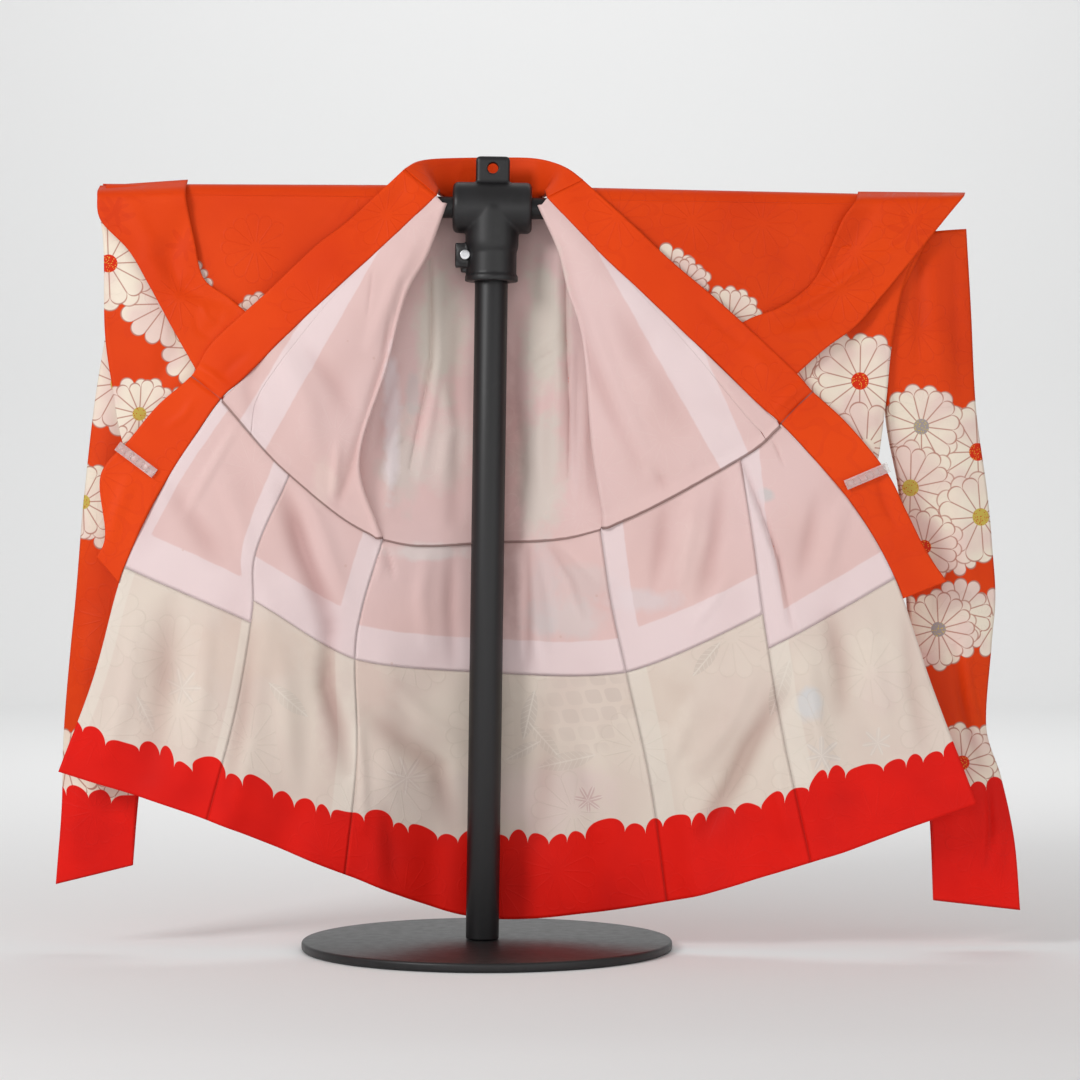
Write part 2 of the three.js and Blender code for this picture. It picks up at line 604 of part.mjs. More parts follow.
function clip(name, x, z, y, angle) {
  const { length, mouth, wall, width } = CLIP;
  const shape = new THREE.Shape();
  const outer = mouth / 2 + wall;
  shape.moveTo(0, -outer);
  shape.lineTo(length, -outer);
  shape.lineTo(length, -mouth / 2);
  shape.lineTo(wall, -mouth / 2);
  shape.lineTo(wall, mouth / 2);
  shape.lineTo(length, mouth / 2);
  shape.lineTo(length, outer);
  shape.lineTo(0, outer);
  const geometry = new THREE.ExtrudeGeometry(shape, { depth: width, bevelEnabled: false });
  geometry.translate(0, 0, -width / 2);
  const mesh = new THREE.Mesh(geometry, CLEAR);
  mesh.name = name;
  mesh.position.set(x, y, z);
  mesh.rotation.y = angle;
  group.add(mesh);
}
clip('clip_left', -368, 504, -36.2, THREE.MathUtils.degToRad(37));
clip('clip_right', 400, 482, -36.8, THREE.MathUtils.degToRad(180 - 24));

// Stand
function asManifold(geometry, matrix = new THREE.Matrix4()) {
  const bare = geometry.clone().applyMatrix4(matrix);
  bare.deleteAttribute('normal');
  bare.deleteAttribute('uv');
  const merged = mergeVertices(bare, 1e-3);
  return new wasm.Manifold(new wasm.Mesh({
    numProp: 3,
    vertProperties: new Float32Array(merged.attributes.position.array),
    triVerts: new Uint32Array(merged.index.array),
  }));
}

function fromManifold(name, material, manifold) {
  const { vertProperties, triVerts } = manifold.getMesh();
  const geometry = new THREE.BufferGeometry();
  geometry.setAttribute('position', new THREE.BufferAttribute(new Float32Array(vertProperties), 3));
  geometry.setIndex(new THREE.BufferAttribute(new Uint32Array(triVerts), 1));
  geometry.computeVertexNormals();
  const mesh = new THREE.Mesh(geometry, material);
  mesh.name = name;
  return mesh;
}

// Turned profile about an upright axis, given as radius and height pairs, closed on the axis
function turned(profile, sides) {
  const geometry = new THREE.LatheGeometry(profile.map(([r, z]) => new THREE.Vector2(r, z)), sides);
  geometry.rotateX(Math.PI / 2);
  return geometry;
}

// The stand's upright parts share one leaning group; heights in it run along the pole
const upright = new THREE.Group();
upright.position.set(POLE_FOOT_X, 0, 0);
upright.rotation.y = LEAN;
group.add(upright);

const poleTop = BAR_HEIGHT - SOCKET_RADIUS - 4;
const poleBottom = BASE_THICK + 2 * SEAM;
const pole = new THREE.Mesh(
  turned([[0, poleBottom], [POLE_RADIUS, poleBottom], [POLE_RADIUS, poleTop], [0, poleTop]], 32), BLACK);
pole.name = 'stand_pole';
upright.add(pole);

const sideways = new THREE.Matrix4().makeRotationY(Math.PI / 2);
const barAt = new THREE.Matrix4().makeTranslation(0, 0, BAR_HEIGHT);
const endRadius = SOCKET_RADIUS - COUPLING_EDGE;
const endEdge = COUPLING_HALF - COUPLING_EDGE - 1;
const couplingBar = turned([
  [0, -COUPLING_HALF], [endRadius, -COUPLING_HALF], [SOCKET_RADIUS, -endEdge], [SOCKET_RADIUS, endEdge],
  [endRadius, COUPLING_HALF], [0, COUPLING_HALF],
], 28);
const lipTop = SOCKET_BOTTOM + SOCKET_LIP;
const socket = turned([
  [0, SOCKET_BOTTOM], [SOCKET_RADIUS + 1, SOCKET_BOTTOM], [SOCKET_RADIUS + 1, lipTop],
  [SOCKET_RADIUS - 1, lipTop + 3], [SOCKET_RADIUS - 1, BAR_HEIGHT], [0, BAR_HEIGHT],
], 28);
const tab = new THREE.BoxGeometry(TAB.width, TAB.depth, TAB.height + TAB.root);
const tabHole = new THREE.CylinderGeometry(TAB.hole, TAB.hole, TAB.depth * 2, 16);
const tabTop = BAR_HEIGHT + SOCKET_RADIUS + TAB.height;
const clampBlock = new THREE.BoxGeometry(CLAMP.width, CLAMP.depth, CLAMP.height);
const clampX = -SOCKET_RADIUS - CLAMP.out;
const clampZ = SOCKET_BOTTOM + CLAMP.rise;
const boreBar = new THREE.CylinderGeometry(BAR_RADIUS + SEAM, BAR_RADIUS + SEAM, COUPLING_HALF * 3, 28);
boreBar.rotateZ(Math.PI / 2);
const borePole = turned([
  [0, SOCKET_BOTTOM - 5], [POLE_RADIUS + SEAM, SOCKET_BOTTOM - 5],
    [POLE_RADIUS + SEAM, poleTop + SEAM], [0, poleTop + SEAM],
], 32);
const move = (x, y, z) => new THREE.Matrix4().makeTranslation(x, y, z);
const coupling = asManifold(couplingBar, barAt.clone().multiply(sideways))
  .add(asManifold(socket))
  .add(asManifold(tab, move(0, 0, tabTop - (TAB.height + TAB.root) / 2)))
  .add(asManifold(clampBlock, move(clampX, 0, clampZ)))
  .subtract(asManifold(tabHole, move(0, 0, tabTop - TAB.holeDrop)))
  .subtract(asManifold(boreBar, barAt))
  .subtract(asManifold(borePole));
upright.add(fromManifold('stand_coupling', BLACK, coupling));

const bar = new THREE.CylinderGeometry(BAR_RADIUS, BAR_RADIUS, BAR_RIGHT - BAR_LEFT, 28);
bar.rotateZ(Math.PI / 2);
const crossbar = new THREE.Mesh(bar, BLACK);
crossbar.name = 'stand_crossbar';
crossbar.position.set((BAR_RIGHT + BAR_LEFT) / 2, 0, BAR_HEIGHT);
upright.add(crossbar);

const boltHead = new THREE.CylinderGeometry(BOLT.head, BOLT.head, BOLT.headLength, 6);
const bolt = new THREE.Mesh(boltHead, STEEL);
bolt.name = 'stand_clamp_bolt';
bolt.position.set(clampX - 2, -(CLAMP.depth + BOLT.headLength) / 2 - SEAM, clampZ);
upright.add(bolt);

const base = new THREE.Mesh(turned([
  [0, 0], [BASE_RADIUS - 2, 0], [BASE_RADIUS, 2], [BASE_RADIUS, BASE_THICK - 3],
    [BASE_RADIUS - 3, BASE_THICK], [0, BASE_THICK],
], 48), BLACK);
base.name = 'stand_base';
group.add(base);

export default group;
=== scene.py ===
"""A lined child's kimono on a T-shaped stand, hung with its fronts turned back to show the lining.

Tables are in millimetres in the part's frame: +X right, +Y away from the open front, +Z up.
Meshes are made from the same curves as the solids, then given their creases, prints and finishes.
"""
import math
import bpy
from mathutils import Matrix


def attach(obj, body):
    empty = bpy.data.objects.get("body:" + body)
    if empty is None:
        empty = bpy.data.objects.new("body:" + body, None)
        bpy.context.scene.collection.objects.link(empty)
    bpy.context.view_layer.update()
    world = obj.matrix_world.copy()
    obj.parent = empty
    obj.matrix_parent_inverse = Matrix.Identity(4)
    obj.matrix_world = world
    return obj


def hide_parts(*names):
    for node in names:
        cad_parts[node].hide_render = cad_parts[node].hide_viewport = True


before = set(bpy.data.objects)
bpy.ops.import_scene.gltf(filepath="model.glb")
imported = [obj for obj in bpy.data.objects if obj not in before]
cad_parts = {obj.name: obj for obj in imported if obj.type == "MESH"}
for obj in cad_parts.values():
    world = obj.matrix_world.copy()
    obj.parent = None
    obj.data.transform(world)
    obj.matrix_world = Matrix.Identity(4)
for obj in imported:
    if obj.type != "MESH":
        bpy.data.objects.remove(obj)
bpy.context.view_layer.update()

from types import SimpleNamespace

import bpy
import numpy as np
from mathutils import Matrix, Vector

bl_info = {
    "name": "Child Kimono on a Stand",
    "version": (1, 0, 0),
    "blender": (4, 5, 0),
    "location": "View3D > Sidebar > Kimono",
    "description": "Silk shells, linings, printed flowers, folds and the painted stand",
    "category": "Add Mesh",
}

MM = 0.001
CLOTH = 1.0  # one wall of cloth in the solids
SEAM = 0.3
SHELL = (0.3, 0.95)  # where the shell's two faces lie, off the middle of outer and lining
SLEEVE_HALF = 0.4  # half of a sleeve shell's thickness
COLLAR_HALF = 1.15
FOLD_RADIUS = 3.5
WAIST_LIFT = 3.0
TUCK_LIFT = 1.2
TUCK_CENTRE = SEAM + 2 * CLOTH + TUCK_LIFT

LEAN = math.radians(0.8)
POLE_FOOT_X = -4.9
POLE_RADIUS = 16.5
BAR_RADIUS = 10.75
BAR_HEIGHT = 740.0
BAR_LEFT, BAR_RIGHT = -380.0, 449.0
SOCKET_RADIUS = 25.5
SOCKET_BOTTOM = 666.0
COUPLING_HALF = 39.5
COUPLING_CELL = 1.2  # cell of the moulded coupling's smooth skin
BASE_RADIUS = 185.0
BASE_THICK = 9.0


# The cloth's curves


def along(rows, at):
    """Points of a smooth curve through rows, at row numbers that may lie between two rows.

    rows is a list of numbers or points, or a list of sets that hold one point for each number in at.
    """
    rows = np.asarray(rows, float)
    at = np.clip(np.asarray(at, float), 0, len(rows) - 1)
    padded = np.concatenate([[2 * rows[0] - rows[1]], rows, [2 * rows[-1] - rows[-2]]])
    first = np.minimum(np.floor(at).astype(int), len(rows) - 2)
    own = (np.arange(len(at)),) if rows.ndim == 3 else ()
    before, start, end, after = (padded[(first + k, *own)] for k in range(4))
    t = (at - first).reshape(at.shape + (1,) * (start.ndim - 1))
    slope_in, slope_out = (end - before) / 2, (after - start) / 2
    return (
        start * (2 * t**3 - 3 * t**2 + 1)
        + slope_in * (t**3 - 2 * t**2 + t)
        + end * (3 * t**2 - 2 * t**3)
        + slope_out * (t**3 - t**2)
    )


def ramp(low, high, value):
    t = np.clip((value - low) / (high - low), 0, 1)
    return t * t * (3 - 2 * t)


def mix(a, b, t):
    t = np.asarray(t, float)
    return a + (b - a) * (t[:, None] if t.ndim else t)


def place(rows):
    """Rows of x, z, y as points."""
    rows = np.asarray(rows, float)
    return rows[:, [0, 2, 1]]


def bar_height(x):
    at_pole = POLE_FOOT_X + BAR_HEIGHT * math.tan(LEAN)
    return BAR_HEIGHT - (x - at_pole) * math.tan(LEAN)


# Skirt: columns are the seams from the left overlap's free edge, by the back seam, to the right one's.
# Rows are the waist tuck, hips, cream seam, thighs and hem.
SKIRT_X = [[-262, -194, -103, 3, 113, 251, 291], [-314, -228, -124, 2, 124, 264, 356],
           [-357, -231, -131, 1, 139, 276, 403], [-386, -248, -129, 0, 163, 293, 440],
           [-421, -275, -141, -1, 179, 320, 483]]
SKIRT_Z = [[548, 474, 410, 408, 420, 491, 523], [470, 395, 340, 340, 345, 408, 450],
           [381, 335, 289, 274, 276, 318, 370], [275, 235, 190, 150, 165, 215, 262],
           [180, 132, 75, 26, 48, 90, 148]]
SKIRT_Y = [[-34, -30, -9, 25, -9, -30, -34], [-37, -33, -10, 27, -10, -33, -38],
           [-42, -38, -12, 29, -12, -37, -44], [-46, -42, -14, 31, -12, -42, -48],
           [-50, -44, -14, 33, -12, -44, -52]]
SKIRT_POINTS = np.stack([SKIRT_X, SKIRT_Y, SKIRT_Z], axis=-1).astype(float)
HEM = len(SKIRT_X) - 1
# Soft upright folds: seam that places each, width in seams, depth at the hem, level where it starts
SKIRT_FOLDS = [
    (0.45, 0.16, 5, 1.6), (1.12, 0.12, -6, 0.8), (1.55, 0.16, 5, 1.2), (2.25, 0.12, -5, 0.6),
    (2.62, 0.13, 5, 1.6), (3.5, 0.14, 6, 1.4), (4.2, 0.12, -6, 0.7), (4.62, 0.15, 5, 1.8),
    (5.2, 0.12, -6, 0.9), (5.6, 0.15, 5, 1.5),
]


def skirt(seam, level):
    seam, level = np.atleast_1d(seam).astype(float), np.atleast_1d(level).astype(float)
    seam, level = np.broadcast_arrays(seam, level)
    point = along(np.stack([along(row, seam) for row in SKIRT_POINTS]), level)
    for where, width, depth, top in SKIRT_FOLDS:
        point[:, 1] += depth * np.exp(-(((seam - where) / width) ** 2)) * ramp(top, HEM, level)
    return point


# Creases that the light shows: a path of x, z, its half-width, its height towards the open front,
# and how long its ends taper, as a part of the path's length
SKIRT_CREASES = [
    # left overlap
    ([(-247, 522), (-272, 478), (-298, 433)], 4.5, 1.6),
    ([(-311, 458), (-288, 424), (-265, 389)], 11, -2.6),
    ([(-262, 470), (-240, 420), (-236, 392)], 8, 1.6),
    ([(-345, 330), (-352, 260), (-372, 196)], 9, 2.2),
    ([(-312, 345), (-318, 262), (-330, 180)], 13, -3.4),
    ([(-275, 330), (-280, 250), (-296, 170)], 9, 2.4),
    # left front
    ([(-201, 458), (-184, 400), (-163, 345), (-157, 320)], 10, -5.2),
    ([(-184, 470), (-160, 405), (-140, 350)], 9, 2.6),
    ([(-157, 322), (-160, 262), (-147, 221), (-140, 180)], 9, -4.6),
    ([(-205, 300), (-196, 230), (-190, 150)], 11, 2.8),
    ([(-232, 310), (-240, 230), (-256, 150)], 8, -2.4),
    ([(-101, 399), (-97, 385), (-94, 372)], 2.4, -1.8),
    ([(-109, 400), (-106, 384), (-108, 368)], 2.2, 1.2),
    # left back
    ([(-117, 234), (-85, 205), (-50, 178), (-36, 120)], 11, -3.6),
    ([(-92, 262), (-60, 228), (-30, 205)], 9, 2.4),
    ([(-60, 395), (-66, 350), (-60, 300)], 8, 1.8),
    ([(-35, 398), (-38, 340), (-34, 285)], 7, -2.0),
    ([(-128, 226), (-124, 178), (-122, 120)], 5, 2.2),
    ([(-104, 150), (-98, 100), (-96, 66)], 9, -2.8),
    # right back
    ([(72, 404), (92, 384), (110, 368)], 2.6, 1.5),
    ([(62, 402), (84, 368), (96, 330)], 3.2, -1.7),
    ([(52, 398), (62, 350), (66, 300)], 5, 1.7),
    ([(40, 398), (42, 340), (40, 282)], 4, -1.9),
    ([(30, 396), (31, 350), (33, 290)], 3.5, 1.3),
    ([(49, 318), (50, 300), (54, 273)], 3.0, 1.4),
    ([(100, 250), (96, 200), (110, 120)], 12, 2.6),
    ([(58, 240), (60, 190), (52, 110)], 11, -2.8),
    # right front
    ([(207, 458), (200, 410), (190, 352)], 8, 2.9),
    ([(232, 464), (226, 410), (212, 350)], 8, -3.0),
    ([(176, 440), (172, 400), (164, 352)], 7, -2.2),
    ([(243, 375), (222, 344), (205, 322)], 5, 1.6),
    ([(291, 255), (262, 206), (243, 165), (215, 118)], 10, -4.8),
    ([(262, 275), (240, 225), (206, 180)], 10, 2.9),
    ([(205, 246), (190, 205), (172, 172)], 8, 1.9),
    ([(286, 200), (290, 150), (300, 110)], 8, 2.6),
    # right overlap
    ([(251, 489), (270, 441), (288, 390), (300, 329), (304, 318)], 2.6, -3.4),
    ([(246, 480), (264, 436), (281, 388), (293, 330)], 6, 2.6),
    ([(282, 510), (288, 496), (294, 482)], 1.8, -1.2),
    ([(352, 446), (342, 408), (332, 369)], 8, 2.4),
    ([(326, 450), (318, 410), (310, 372)], 7, -2.0),
    ([(340, 330), (350, 280), (352, 242)], 9, -3.2),
    ([(376, 330), (384, 270), (396, 210)], 10, 2.8),
    ([(415, 330), (418, 270), (432, 200)], 8, -2.2),
    ([(318, 290), (324, 230), (338, 165)], 9, 2.6),
]
FRONT_CREASES = [
    # left
    ([(-82, 664), (-99, 594), (-137, 473), (-149, 444)], 5, -2.6),
    ([(-96, 630), (-103, 594)], 2.2, -1.2),
    ([(-113, 674), (-118, 630)], 1.8, -0.8),
    ([(-147, 502), (-152, 449)], 5, 2.0),
    ([(-210, 610), (-176, 540), (-168, 490)], 12, 2.4),
    ([(-180, 600), (-150, 560), (-132, 530)], 9, -1.8),
    ([(-226, 590), (-236, 560), (-228, 530)], 8, -1.6),
    ([(-70, 706), (-92, 660), (-116, 600)], 7, 1.6),
    # right
    ([(68, 700), (100, 600), (128, 530), (152, 482)], 8, -2.6),
    ([(90, 660), (126, 560), (166, 478)], 9, 2.2),
    ([(126, 640), (160, 580), (196, 520)], 11, -1.6),
    ([(164, 484), (176, 462), (185, 446)], 4, -1.8),
    ([(210, 600), (240, 560), (262, 530)], 9, 1.5),
    ([(196, 490), (206, 474), (212, 460)], 4, 1.2),
]
BACK_CREASES = [
    # the tucks taken at the shoulders
    ([(-57, 690), (-57, 590), (-65, 546), (-78, 480)], 2.4, -2.0),
    ([(-50, 690), (-49, 590), (-56, 540), (-68, 470)], 5, 1.8),
    ([(79, 690), (80, 610), (83, 540), (82, 470)], 2.4, -2.2),
    ([(70, 690), (70, 610), (72, 540), (70, 470)], 5, 2.0),
    # puckers and soft hollows between them and the pole
    ([(43, 600), (56, 606), (70, 615)], 2.2, 1.3),
    ([(44, 588), (58, 594), (71, 600)], 2.0, -1.1),
    ([(46, 577), (60, 586), (70, 592)], 2.4, 1.3),
    ([(48, 562), (58, 570), (68, 572)], 2.0, -0.9),
    ([(30, 640), (28, 560), (34, 480), (30, 430)], 8, -2.6),
    ([(56, 560), (52, 500), (58, 440)], 9, 2.2),
    ([(-30, 640), (-34, 560), (-30, 480), (-34, 430)], 9, -2.4),
    ([(-44, 560), (-36, 520), (-46, 470)], 7, 1.6),
    ([(-80, 548), (-96, 500), (-100, 440)], 6, 1.6),
    ([(-88, 590), (-104, 540), (-112, 500)], 5, -1.8),
    ([(100, 560), (96, 500), (100, 450)], 6, 1.8),
    ([(90, 600), (90, 540), (92, 470)], 4, -1.6),
    ([(-95, 500), (-88, 504), (-80, 512)], 2.2, -1.0),
    ([(-120, 700), (-100, 640), (-110, 580)], 10, 2.0),
    ([(140, 690), (122, 640), (130, 580)], 10, 2.0),
]
SLEEVE_CREASES = {
    "yoke": [
        ([(-300, 732), (-220, 731), (-130, 730)], 3, 0.8),
        ([(-150, 734), (-140, 722), (-132, 712)], 3, 0.9),
        ([(-172, 733), (-160, 724)], 3, -0.7),
        ([(-270, 700), (-230, 680), (-216, 660)], 12, 1.2),
        ([(120, 728), (220, 727), (330, 726)], 3, 0.8),
        ([(300, 700), (290, 670), (270, 650)], 12, -1.6),
        ([(160, 715), (200, 690), (230, 660)], 14, 1.4),
        ([(110, 716), (126, 706), (146, 700)], 3, -0.8),
    ],
    "flap": [
        ([(-302, 722), (-316, 690), (-310, 661), (-284, 648), (-252, 643)], 11, -5.0),
        ([(-336, 700), (-334, 687), (-306, 652), (-262, 634)], 10, 3.2),
        ([(-282, 640), (-276, 626), (-262, 618)], 3, 1.4),
        ([(-290, 634), (-286, 616), (-268, 606)], 3, -1.2),
        ([(-262, 634), (-268, 622), (-280, 612)], 2.4, -1.1),
        ([(-356, 745), (-340, 715), (-322, 690)], 9, 1.4),
        ([(365, 747), (347, 721), (332, 688), (311, 655), (286, 632)], 4, 2.4),
        ([(392, 752), (362, 706), (336, 668), (308, 648)], 11, -5.2),
        ([(403, 696), (365, 673), (337, 655), (311, 640), (288, 632)], 4.5, 2.8),
        ([(404, 676), (366, 652), (330, 634), (296, 620)], 10, -3.0),
        ([(446, 738), (420, 706), (396, 680)], 9, 1.8),
        ([(340, 618), (316, 616), (286, 612)], 7, 1.8),
    ],
    "cuff": [
        ([(-360, 700), (-352, 640), (-330, 590)], 12, 1.8),
        ([(-344, 560), (-340, 530), (-346, 500)], 8, -1.6),
        ([(-300, 640), (-312, 600), (-330, 560)], 9, -1.8),
        ([(410, 670), (390, 610), (386, 540)], 9, 1.8),
        ([(380, 650), (360, 600), (350, 560)], 10, -2.2),
        ([(394, 560), (392, 520), (388, 490)], 5, -1.2),
    ],
    "bag": [
        ([(-396, 520), (-400, 420), (-408, 330)], 9, 2.0),
        ([(-370, 540), (-368, 440), (-380, 350)], 11, -2.4),
        ([(-398, 330), (-402, 250), (-412, 180)], 8, 1.8),
        ([(-368, 250), (-372, 180), (-380, 110)], 9, -1.8),
        ([(-408, 170), (-412, 120), (-416, 80)], 7, 1.6),
        ([(428, 715), (430, 640), (428, 578)], 6, -2.4),
        ([(444, 712), (446, 640), (452, 560)], 8, 2.2),
        ([(466, 700), (468, 620), (472, 540)], 7, -1.8),
        ([(470, 440), (478, 380), (484, 330)], 10, 2.2),
        ([(440, 420), (446, 360), (444, 310)], 9, -2.0),
        ([(465, 300), (471, 254), (479, 219), (491, 184)], 5, -3.6),
        ([(474, 304), (482, 262), (494, 222)], 5, 3.0),
        ([(483, 271), (499, 209)], 3.4, -2.4),
        ([(500, 163), (502, 120), (500, 83)], 3.2, -3.4),
        ([(508, 165), (512, 120), (511, 80)], 5, 2.4),
        ([(462, 160), (466, 100), (470, 60)], 9, 1.6),
    ],
}
COLLAR_CREASES = [
    ([(-295, 572), (-281, 562), (-263, 548)], 1.7, -2.0),
    ([(-290, 582), (-272, 571), (-256, 558)], 5, 1.6),
    ([(324, 556), (306, 539), (290, 522)], 1.7, -2.0),
    ([(318, 566), (298, 549), (284, 534)], 5, 1.6),
    ([(-262, 572), (-250, 584), (-236, 594)], 5, -1.0),
    ([(-315, 520), (-300, 530), (-290, 545)], 4, 0.9),
    ([(-352, 470), (-366, 430), (-372, 400)], 7, 1.4),
    ([(398, 470), (412, 434), (430, 400)], 7, 1.4),
    ([(386, 470), (392, 446), (402, 424)], 4, -1.4),
    ([(250, 600), (270, 586), (286, 566)], 6, 0.9),
    ([(212, 640), (236, 616), (262, 594)], 5, -0.7),
    ([(-180, 668), (-150, 690), (-120, 716)], 9, 0.7),
    ([(-110, 734), (-90, 752), (-70, 772)], 8, -1.0),
]
WAVES = 14


def crease_height(points, creases):
    """How far each point is lifted towards the open front."""
    flat = points[:, [0, 2]]
    lift = np.zeros(len(points))
    for path, width, height in creases:
        nearest, where = off_path(flat, path)
        taper = np.sin(math.pi * (0.08 + 0.84 * where)) ** 0.8
        lift += height * taper * np.exp(-((nearest / width) ** 2))
    return lift


def off_path(flat, path):
    """Distance of points x, z from a path, and how far along it the nearest place is, from 0 to 1."""
    path = np.asarray(path, float)
    steps = np.linalg.norm(np.diff(path, axis=0), axis=1)
    run = np.concatenate([[0], np.cumsum(steps)])
    nearest, where = np.full(len(flat), np.inf), np.zeros(len(flat))
    for start, end, step, before in zip(path[:-1], path[1:], steps, run):
        t = np.clip(((flat - start) @ (end - start)) / step**2, 0, 1)
        off = np.linalg.norm(flat - start - t[:, None] * (end - start), axis=1)
        closer = off < nearest
        nearest[closer] = off[closer]
        where[closer] = (before + t[closer] * step) / run[-1]
    return nearest, where


def waves(points, seed, height):
    """Slow unevenness of hanging cloth, from a few waves of unlike lengths."""
    rng = np.random.default_rng(seed)
    lift = np.zeros(len(points))
    for _ in range(WAVES):
        length = rng.uniform(26, 110)
        angle = rng.normal(0, 0.7)
        phase = rng.uniform(0, 2 * math.pi)
        turn = (points[:, 0] * math.cos(angle) + points[:, 2] * math.sin(angle)) / length
        lift += length / 110 * np.sin(2 * math.pi * turn + phase)
    return lift * height / math.sqrt(WAVES)


# Meshes

FAR_OFF = 60.0  # a distance in mm that no mark reaches
HOLLOW = 6.0  # depth in mm of a crease's hollow that gets the most painted shade
SHARE_LEAST = 0.3  # least share of its rectangle that a cut takes up
STEP = 1e-3  # step along a surface, as a share of it, for its slope


def lengths(grid, axis):
    """Distance along the grid's lines from their first point."""
    steps = np.linalg.norm(np.diff(grid, axis=axis), axis=-1)
    start = np.zeros_like(steps.take([0], axis=axis))
    return np.concatenate([start, np.cumsum(steps, axis=axis)], axis=axis)


def grid_of(surface, across, down, lift=None):
    """Points and normals of surface(u, v), with lift(points) added towards the open front."""
    v, u = (a.ravel() for a in np.meshgrid(
        np.linspace(0, 1, down + 1), np.linspace(0, 1, across + 1), indexing="ij"))

    def lifted(u, v):
        points = surface(np.clip(u, 0, 1), np.clip(v, 0, 1))
        if lift is not None:
            points[:, 1] -= lift(points, u, v)
        return points

    across_way = lifted(u + STEP, v) - lifted(u - STEP, v)
    down_way = lifted(u, v + STEP) - lifted(u, v - STEP)
    normals = np.cross(across_way, down_way)
    normals /= np.maximum(np.linalg.norm(normals, axis=1, keepdims=True), 1e-12)
    return lifted(u, v), normals, u, v


def shell_mesh(name, near, far, across, down, attributes):
    """A closed sheet between two grids of points, smooth on its faces and sharp at its rim."""
    row, layer = across + 1, (across + 1) * (down + 1)
    points = np.concatenate([near, far])
    j, i = (a.ravel() for a in np.meshgrid(np.arange(down), np.arange(across), indexing="ij"))
    k = j * row + i
    faces = [np.stack([k, k + 1, k + 1 + row, k + row], 1)]
    faces.append(layer + faces[0][:, ::-1])
    side, foot = np.arange(down) * row, np.arange(across)
    right, base = side + across, down * row + foot
    faces.append(np.stack([side, side + row, layer + side + row, layer + side], 1))
    faces.append(np.stack([right + row, right, layer + right, layer + right + row], 1))
    faces.append(np.stack([foot + 1, foot, layer + foot, layer + foot + 1], 1))
    faces.append(np.stack([base, base + 1, layer + base + 1, layer + base], 1))
    rim = sum(len(f) for f in faces[2:])
    faces = np.concatenate(faces)
    a, b, c, d = (points[faces[:, n]] for n in range(4))
    volume = (np.cross(b - a, c - a) * a).sum() + (np.cross(c - a, d - a) * a).sum()
    if volume < 0:
        faces = faces[:, ::-1]
    mesh = bpy.data.meshes.new(name)
    mesh.vertices.add(len(points))
    mesh.vertices.foreach_set("co", (points * MM).astype(np.float32).ravel())
    mesh.loops.add(faces.size)
    mesh.loops.foreach_set("vertex_index", faces.astype(np.int32).ravel())
    mesh.polygons.add(len(faces))
    mesh.polygons.foreach_set("loop_start", np.arange(0, faces.size, 4, dtype=np.int32))
    mesh.update(calc_edges=True)
    mesh.validate()
    uv = mesh.uv_layers.new(name="cloth")
    flat = np.stack([attributes["along"], attributes["down"]], 1) * MM
    uv.data.foreach_set("uv", np.concatenate([flat, flat])[faces.ravel()].astype(np.float32).ravel())
    for key, values in attributes.items():
        layer_data = mesh.attributes.new(key, "FLOAT", "POINT")
        layer_data.data.foreach_set("value", np.concatenate([values, values]).astype(np.float32))
    mesh.shade_smooth()
    sharp = mesh.attributes.new("sharp_face", "BOOLEAN", "FACE")
    flags = np.zeros(len(faces), bool)
    flags[-rim:] = True
    sharp.data.foreach_set("value", flags)
    obj = bpy.data.objects.new(name, mesh)
    bpy.context.scene.collection.objects.link(obj)
    return obj


def dress(obj, nodes, material):
    """Puts a finished piece in its node's place."""
    obj.data.materials.clear()
    obj.data.materials.append(material)
    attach(obj, "root")
    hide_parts(*nodes)
    return obj


def cloth(name, surface, near, far, across, down, slot, material, lift=None, marks=None, held="hung",
          rests_on=("stand_crossbar",), lining_lip=None):
    """One cut piece: a shell off surface(u, v) that replaces the node of the same name.

    marks is given every point with its distances in mm from the piece's four edges.
    """
    points, normals, u, v = grid_of(surface, across, down, lift)
    raised = lift(surface(u, v), u, v) if lift else np.zeros(len(u))
    grid = points.reshape(down + 1, across + 1, 3)
    over, under = lengths(grid, 1), lengths(grid, 0)
    at = SimpleNamespace(points=points, u=u, v=v, left=over.ravel(), right=(over[:, -1:] - over).ravel(),
                         top=under.ravel(), foot=(under[-1:] - under).ravel())
    extra = np.zeros((len(u), 1)) if lining_lip is None else lining_lip(v)[:, None]
    attributes = {"along": at.left, "down": at.top, **(marks(at) if marks else marks_of(at.u))}
    # Painted shade: how deep each point lies in a crease, which darkens its colour there
    attributes["hollow"] = np.clip(-raised / HOLLOW, 0, 1)
    near_at, far_at = (f(u, v)[:, None] if callable(f) else f for f in (near, far))
    obj = shell_mesh(f"{name}_cloth", points + normals * (near_at + extra), points + normals * (far_at + extra),
                     across, down, attributes)
    dress(obj, [name], material)
    declare(points, across, down)
    return obj


def cells(length, share=1.0):
    """How many cells a length in mm takes, with cells that are a share of the cell size set."""
    return max(4, int(round(length * MM / (settings().cloth_cell * share))))


# Shaders


def srgb(red, green, blue, strength=1.0):
    """A colour as the eye reads it, from 0 to 255, as linear light."""
    channel = [c / 255 for c in (red, green, blue)]
    return (*(strength * (c / 12.92 if c <= 0.04045 else ((c + 0.055) / 1.055) ** 2.4) for c in channel), 1.0)


